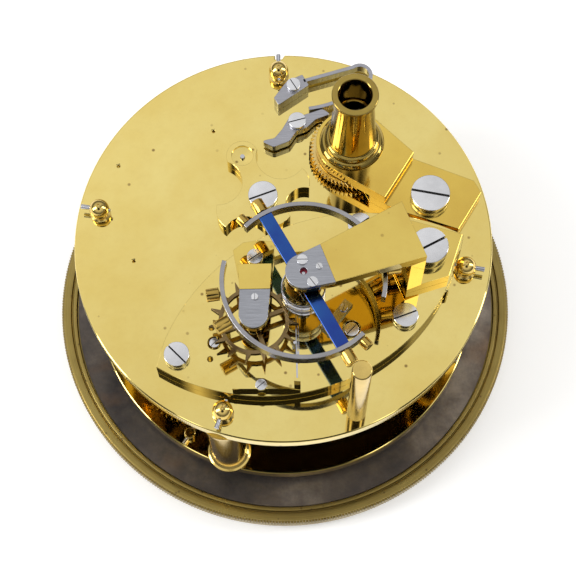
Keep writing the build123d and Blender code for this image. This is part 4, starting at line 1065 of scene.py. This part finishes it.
def balance_cock():
    # arm, riser and foot, with a lower nose that carries the end plate
    along = bearing(COCK_ARM[0], COCK_ARM[1]) + 90
    inner = [polar(p, RISER_T, along) for p in COCK_ARM[:2]]
    riser = [COCK_ARM[0], COCK_ARM[1], inner[1], inner[0]]
    across = bearing(COCK_ARM[2], COCK_ARM[3])
    under = COCK_TOP - COCK_ARM_T
    foot_top = SUB_TOP + COCK_FOOT_T
    nose = [COCK_ARM[2]] + arc(BALANCE_AT, COCK_NOSE_R, across + 180, 180, 32) + [COCK_ARM[3]]
    hole = circle(JEWEL_HOLE_R, BALANCE_AT, 40)
    return joined([
        flat([list(COCK_ARM)], under, COCK_TOP, 0.07, 1),
        flat([riser], foot_top - SUNK, under + SUNK, 0.07, 1),
        flat([list(COCK_FOOT)], SUB_TOP, foot_top, 0.07, 1),
        flat([nose, hole], under, COCK_TOP - COCK_END_T, 0.07, 1),
    ]), nose


cock_mesh, nose_outline = balance_cock()
fit("balance_cock_polished", cock_mesh, COCK_BRASS, "balance_cock")
fit("balance_end_plate_grained",
    flat([nose_outline, circle(0.7, BALANCE_AT, 32)], COCK_TOP - COCK_END_T, COCK_TOP, 0.06, 1),
    COCK_GRAIN, "balance_end_plate")

ESCAPE_FOOT = ((-9.9, -4.3), (-7.9, -2.7), (-5.0, -2.3), (-1.7, -2.6), (-2.3, -10.5), (-8.8, -10.5))
ESCAPE_ARM = ((-8.8, -9.4), (-2.3, -9.4), (-2.6, -14.6), (-8.5, -14.6))
ESCAPE_RISER = ((-8.8, -9.4), (-2.3, -9.4), (-2.3, -10.5), (-8.8, -10.5))
ESCAPE_FOOT_T = 2.2
ESCAPE_ARM_T = 2.4
ESCAPE_END_T = 0.9
ESCAPE_NOSE_R = 2.8
PIVOT_PLAY = 0.03  # between the arbor's end and the end plate


def escape_cock():
    under = ESCAPE_TOP - ESCAPE_ARM_T
    foot_top = SUB_TOP + ESCAPE_FOOT_T
    nose = [ESCAPE_ARM[2], ESCAPE_ARM[3]] + arc(ESCAPE_AT, ESCAPE_NOSE_R, 180, 180, 28)
    hole = circle(JEWEL_HOLE_R, ESCAPE_AT, 40)
    return joined([
        flat([list(ESCAPE_FOOT)], SUB_TOP, foot_top, 0.06, 1),
        flat([list(ESCAPE_RISER)], foot_top - SUNK, under + SUNK, 0.05, 1),
        flat([list(ESCAPE_ARM)], under, ESCAPE_TOP, 0.06, 1),
        flat([nose, hole], under, ESCAPE_TOP - ESCAPE_END_T, 0.05, 1),
    ]), nose


escape_mesh, escape_nose = escape_cock()
fit("escape_cock_polished", escape_mesh, COCK_BRASS, "escape_cock")
end_plate_z = ESCAPE_TOP - ESCAPE_END_T + PIVOT_PLAY
fit("escape_end_plate_grained", flat([escape_nose], end_plate_z, ESCAPE_TOP, 0.05, 1), ESCAPE_GRAIN,
    "escape_end_plate")

ESCAPE_R = 8.7
ESCAPE_TEETH = 15
LOCK_ANGLE = -31.2  # where a tooth rests against the detent's stone


def escape_wheel():
    # pointed, leaning teeth on a thin rim with four spokes
    pitch = 360 / ESCAPE_TEETH
    root = ESCAPE_R - 1.9
    rim, hub, spoke = root - 0.75, 1.7, 0.4
    outline = []
    for k in range(ESCAPE_TEETH):
        a = LOCK_ANGLE + (k + 0.06) * pitch
        outline += [polar(ESCAPE_AT, ESCAPE_R, a), polar(ESCAPE_AT, ESCAPE_R - 0.1, a + 0.03 * pitch)]
        outline += [polar(ESCAPE_AT, root, a + 0.26 * pitch), polar(ESCAPE_AT, root, a + 0.6 * pitch)]
        outline.append(polar(ESCAPE_AT, root, a + 0.93 * pitch))
    holes = [circle(0.95, ESCAPE_AT, 32)]
    for k in range(4):
        a = 20 + 90 * k
        near, far = math.degrees(math.asin(spoke / hub)), math.degrees(math.asin(spoke / rim))
        opening = arc(ESCAPE_AT, rim, a + far, 90 - 2 * far, 20)
        holes.append(opening + arc(ESCAPE_AT, hub, a + 90 - near, 2 * near - 90, 8))
    return flat([outline] + holes, foot_of("escape_wheel"), top_of("escape_wheel"), 0.03, 1)


fit("escape_wheel_cut", escape_wheel(), ESCAPE_BRONZE, "escape_wheel")

POST_R = 1.85
POST_SPIGOT = (0.9, 2.0)  # radius, length


def post():
    z1 = top_of("resting_post")
    r, sunk = POST_SPIGOT
    section = [(0, TOP - sunk), (r, TOP - sunk), (r, TOP), (POST_R, TOP), (POST_R, z1 - 0.2),
               (POST_R - 0.2, z1), (0, z1)]
    return turned(section, POST_AT, 0.05, 72)


fit("resting_post_turned", post(), TURNED_BRASS, "resting_post")


# Click and its spring

CLICK_OUTLINE = ((-4.3, 20.8), (-1.4, 21.4), (0.2, 23.4), (1.6, 25.9), (4.2, 26.4), (6.0, 27.0), (8.6, 27.9),
                 (10.3, 26.6), (7.1, 25.4), (5.3, 23.6), (3.2, 22.9), (1.7, 20.6), (-1.6, 19.3))
CLICK_Z = foot_of("click")
CLICK_TOP = top_of("click")
fit("click_grained", flat([eased(CLICK_OUTLINE, 1.2, 6)], CLICK_Z, CLICK_TOP, 0.12, 2), CLICK_STEEL, "click")

SPRING_FOOT = ((-1.4, 30.6), (1.3, 34.4), (4.6, 35.9), (5.9, 33.4), (-0.5, 28.9))
BLADE_HALF_W = 0.4


def click_spring():
    # a blade bent back on itself like a hairpin, from a screwed foot
    path = [(4.8, 34.4), (15.2, 37.4)] + arc_through((15.2, 37.4), (18.4, 36.9), (18.2, 34.0), 16)[1:]
    path += arc_through((18.2, 34.0), (12.4, 29.9), (5.8, 28.0), 16)[1:]
    left, right = [], []
    for k, p in enumerate(path):
        a, b = path[max(k - 1, 0)], path[min(k + 1, len(path) - 1)]
        side = bearing(a, b) + 90
        left.append(polar(p, BLADE_HALF_W, side))
        right.append(polar(p, -BLADE_HALF_W, side))
    return joined([
        flat([left + right[::-1]], CLICK_Z, CLICK_TOP, 0.06, 1),
        flat([eased(SPRING_FOOT, 0.3, 3)], TOP, CLICK_TOP, 0.08, 1),
    ])


fit("click_spring_bent", click_spring(), CLICK_STEEL, "click_spring")


# Balance

RIM_R = 15.3
RIM_T = 0.85
RIM_SWEEP = 150.0
RIM_STUB = 17.0  # degrees of rim behind each end of the arm
ARM_ANGLE = 118.0
ARM_HALF_W = 1.3
ARM_ENDS = (ARM_ANGLE, ARM_ANGLE + 180)
RIM_TOP = top_of("balance_rims")
RIM_FOOT = foot_of("balance_rims")
STAFF_HOLE_R = 0.62


def rim(arm_end):
    # a band from a short stub past the arm's end to its free end far round
    r0, r1 = RIM_R - 0.42, RIM_R + 0.42
    start = arm_end + RIM_STUB - RIM_SWEEP
    inside = arc(BALANCE_AT, r0, start, RIM_SWEEP, 90)
    outside = arc(BALANCE_AT, r1, start, RIM_SWEEP, 90)
    return flat([inside + outside[::-1]], RIM_FOOT, RIM_TOP, 0.05, 1)


fit("balance_rims_laminated", joined([rim(a) for a in ARM_ENDS]), DARK_STEEL, "balance_rims")


def balance_arm():
    half = RIM_R - 0.44
    bar = []
    for a in ARM_ENDS:
        tip = math.degrees(math.asin(ARM_HALF_W / half))
        bar += arc(BALANCE_AT, half, a - tip, 2 * tip, 8)
    hole = circle(STAFF_HOLE_R, BALANCE_AT, 24)
    return flat([bar, hole], foot_of("balance_arm"), top_of("balance_arm"), 0.06, 1)


fit("balance_arm_blued", balance_arm(), BLUE, "balance_arm")

# Weights on each rim: angle from the arm's end, radius and length
WEIGHTS = ((0.0, 1.25, 2.8), (14.0, 1.0, 2.0), (-110.0, 1.25, 2.6), (-89.0, 1.35, 3.0))
STEM_R = 0.4
STEM_HALF_L = 0.7
STEM_OUT = 0.4  # from the middle of the rim to the middle of the stem


def weight(r, length, at, z, angle):
    half = length / 2
    section = [(0, -half), (0.45 * r, -half), (r, -half + 0.15), (r, half - 0.15), (r - 0.15, half),
               (0, half)]
    return laid(turned(section, (0, 0), 0.04, 48), at, z, angle)


def weights():
    pieces = []
    z = (RIM_TOP + RIM_FOOT) / 2
    stem = [(0, -STEM_HALF_L), (STEM_R, -STEM_HALF_L), (STEM_R, STEM_HALF_L), (0, STEM_HALF_L)]
    for arm_end in ARM_ENDS:
        for offset, r, length in WEIGHTS:
            a = arm_end + offset
            at = polar(BALANCE_AT, RIM_R + RIM_T / 2 + 0.12 + length / 2, a)
            pieces.append(weight(r, length, at, z, a))
            near = polar(BALANCE_AT, RIM_R + STEM_OUT, a)
            pieces.append(laid(turned(stem, (0, 0), 0, 20), near, z, a))
    return joined(pieces)


fit("balance_weights_turned", weights(), WEIGHT_BRASS, "balance_weights")

HAIR_R = 4.1
HAIR_TURNS = 16.5
HAIR_WIRE_R = 0.145


def hair_spring():
    holder = link("hair_spring", bpy.data.meshes.new("hair_spring"))
    z0 = foot_of("balance_spring") + 0.25
    rise = top_of("balance_spring") - z0 - 0.2
    values = {"Turns": HAIR_TURNS, "Radius": HAIR_R * MM, "Rise": rise * MM, "Wire": HAIR_WIRE_R * MM,
              "Finish": STEEL}
    set_inputs(holder, COIL_TREE, values)
    mesh = baked(holder)
    drop(holder)
    return settle(moved(mesh, BALANCE_AT, z0))


fit("balance_spring_coil", hair_spring(), None, "balance_spring")


# Room, light and camera

FLOOR_HALF = 2.5
FLOOR_GLOW = 0.28


def stage():
    # a pale floor that keeps the object's shadow and looks white to the camera
    s = FLOOR_HALF
    mesh = bpy.data.meshes.new("floor")
    mesh.from_pydata([(-s, -s, 0), (s, -s, 0), (s, s, 0), (-s, s, 0)], [], [(0, 1, 2, 3)])
    floor = link("studio_floor", mesh)
    material = bpy.data.materials.new("studio_floor")
    material.use_nodes = True
    tree = material.node_tree
    tree.nodes.clear()
    new, wire = tree.nodes.new, tree.links.new
    matte = new("ShaderNodeBsdfDiffuse")
    matte.inputs["Color"].default_value = (0.9, 0.9, 0.9, 1)
    lift = new("ShaderNodeEmission")
    lift.inputs["Color"].default_value = (1, 1, 1, 1)
    path = new("ShaderNodeLightPath")
    seen = path.outputs["Is Camera Ray"]
    for ray in ("Is Glossy Ray", "Is Transmission Ray"):
        either = new("ShaderNodeMath")
        either.operation = "MAXIMUM"
        wire(seen, either.inputs[0])
        wire(path.outputs[ray], either.inputs[1])
        seen = either.outputs[0]
    strength = new("ShaderNodeMath")
    strength.operation = "MULTIPLY"
    wire(seen, strength.inputs[0])
    strength.inputs[1].default_value = FLOOR_GLOW
    wire(strength.outputs[0], lift.inputs["Strength"])
    total = new("ShaderNodeAddShader")
    wire(matte.outputs[0], total.inputs[0])
    wire(lift.outputs[0], total.inputs[1])
    end = new("ShaderNodeOutputMaterial")
    wire(total.outputs[0], end.inputs["Surface"])
    mesh.materials.append(material)


# The sky's brightness by height, from level to straight above
SKY_STOPS = ((0.0, 0.16), (0.30, 0.20), (0.60, 0.70), (0.80, 0.98), (0.90, 0.98), (0.965, 0.84), (1.0, 0.80))

# Patches of the sky: direction, inner and outer half angle in degrees, brightness. The darkest stands
# where the camera does, and gives upright walls their black lines
SKY_PATCHES = (
    ((0.30, 0.46, 0.84), 4.0, 26.0, 0.84), ((0, -0.40, 0.92), 14.0, 18.0, 0.02),
    ((0.34, 0.10, 0.935), 6.0, 11.0, 0.35), ((-0.33, -0.06, 0.94), 5.5, 8.5, 0.05),
    ((0.33, -0.06, 0.94), 5.5, 8.5, 0.05), ((-0.30, -0.20, 0.93), 1.6, 3.0, 2.0),
    ((0.30, -0.20, 0.93), 1.6, 3.0, 2.0),
    ((0.62, 0.30, 0.72), 9.0, 18.0, 0.30), ((-0.75, -0.10, 0.55), 8.0, 16.0, 0.35),
)


def room_light():
    world = bpy.data.worlds.new("studio")
    scene.world = world
    world.use_nodes = True
    tree = world.node_tree
    tree.nodes.clear()
    new, wire = tree.nodes.new, tree.links.new
    place = new("ShaderNodeTexCoord")
    parts = new("ShaderNodeSeparateXYZ")
    wire(place.outputs["Generated"], parts.inputs[0])
    height = new("ShaderNodeValToRGB")
    wire(parts.outputs["Z"], height.inputs["Fac"])
    set_stops(height.color_ramp, SKY_STOPS)
    shade = height.outputs["Color"]
    for direction, inner, outer, value in SKY_PATCHES:
        near = new("ShaderNodeVectorMath")
        near.operation = "DOT_PRODUCT"
        wire(place.outputs["Generated"], near.inputs[0])
        near.inputs[1].default_value = Vector(direction).normalized()
        share = new("ShaderNodeMapRange")
        share.inputs["From Min"].default_value = math.cos(math.radians(outer))
        share.inputs["From Max"].default_value = math.cos(math.radians(inner))
        wire(near.outputs["Value"], share.inputs["Value"])
        blend = new("ShaderNodeMix")
        blend.data_type = "RGBA"
        wire(share.outputs[0], blend.inputs["Factor"])
        wire(shade, blend.inputs[6])
        blend.inputs[7].default_value = (value, value, value, 1)
        shade = blend.outputs[2]
    glow = new("ShaderNodeBackground")
    wire(shade, glow.inputs["Color"])
    glow.inputs["Strength"].default_value = 1.0
    white = new("ShaderNodeBackground")
    white.inputs["Color"].default_value = (1, 1, 1, 1)
    path = new("ShaderNodeLightPath")
    pick = new("ShaderNodeMixShader")
    wire(path.outputs["Is Camera Ray"], pick.inputs[0])
    wire(glow.outputs[0], pick.inputs[1])
    wire(white.outputs[0], pick.inputs[2])
    end = new("ShaderNodeOutputWorld")
    wire(pick.outputs[0], end.inputs["Surface"])


def lamp(name, at, aim, width, height, power):
    light = bpy.data.lights.new(name, "AREA")
    light.shape = "RECTANGLE"
    light.size = width
    light.size_y = height
    light.energy = power
    piece = bpy.data.objects.new(name, light)
    scene.collection.objects.link(piece)
    piece.location = at
    piece.rotation_euler = (Vector(at) - Vector(aim)).to_track_quat("Z", "Y").to_euler()


CAMERA_LIFT = 69.639
CAMERA_ROLL = -1.1
CAMERA_REACH = 298.041
CAMERA_AIM = (0.773, -10.415, TOP)
CAMERA_LENS = 93.75


def camera():
    lift, roll = math.radians(CAMERA_LIFT), math.radians(CAMERA_ROLL)
    reach = CAMERA_REACH * MM
    aim = Vector([c * MM for c in CAMERA_AIM])
    back = Vector((0, -math.cos(lift), math.sin(lift)))
    right = Vector((1, 0, 0))
    up = back.cross(right)
    across = math.cos(roll) * right + math.sin(roll) * up
    rise = -math.sin(roll) * right + math.cos(roll) * up
    data = bpy.data.cameras.new("camera")
    data.sensor_width = 36.0
    data.lens = CAMERA_LENS
    data.clip_start = 0.01
    view = bpy.data.objects.new("camera", data)
    scene.collection.objects.link(view)
    turn = Matrix((across, rise, back)).transposed().to_4x4()
    view.matrix_world = Matrix.Translation(aim + reach * back) @ turn
    scene.camera = view


stage()
room_light()
lamp("left_softbox", (-0.55, -0.1, 0.45), (0, 0, 0.04), 0.25, 0.6, 3.0)
lamp("right_softbox", (0.6, 0.05, 0.4), (0, 0, 0.04), 0.2, 0.6, 2.0)
camera()
scene.view_settings.view_transform = "Standard"
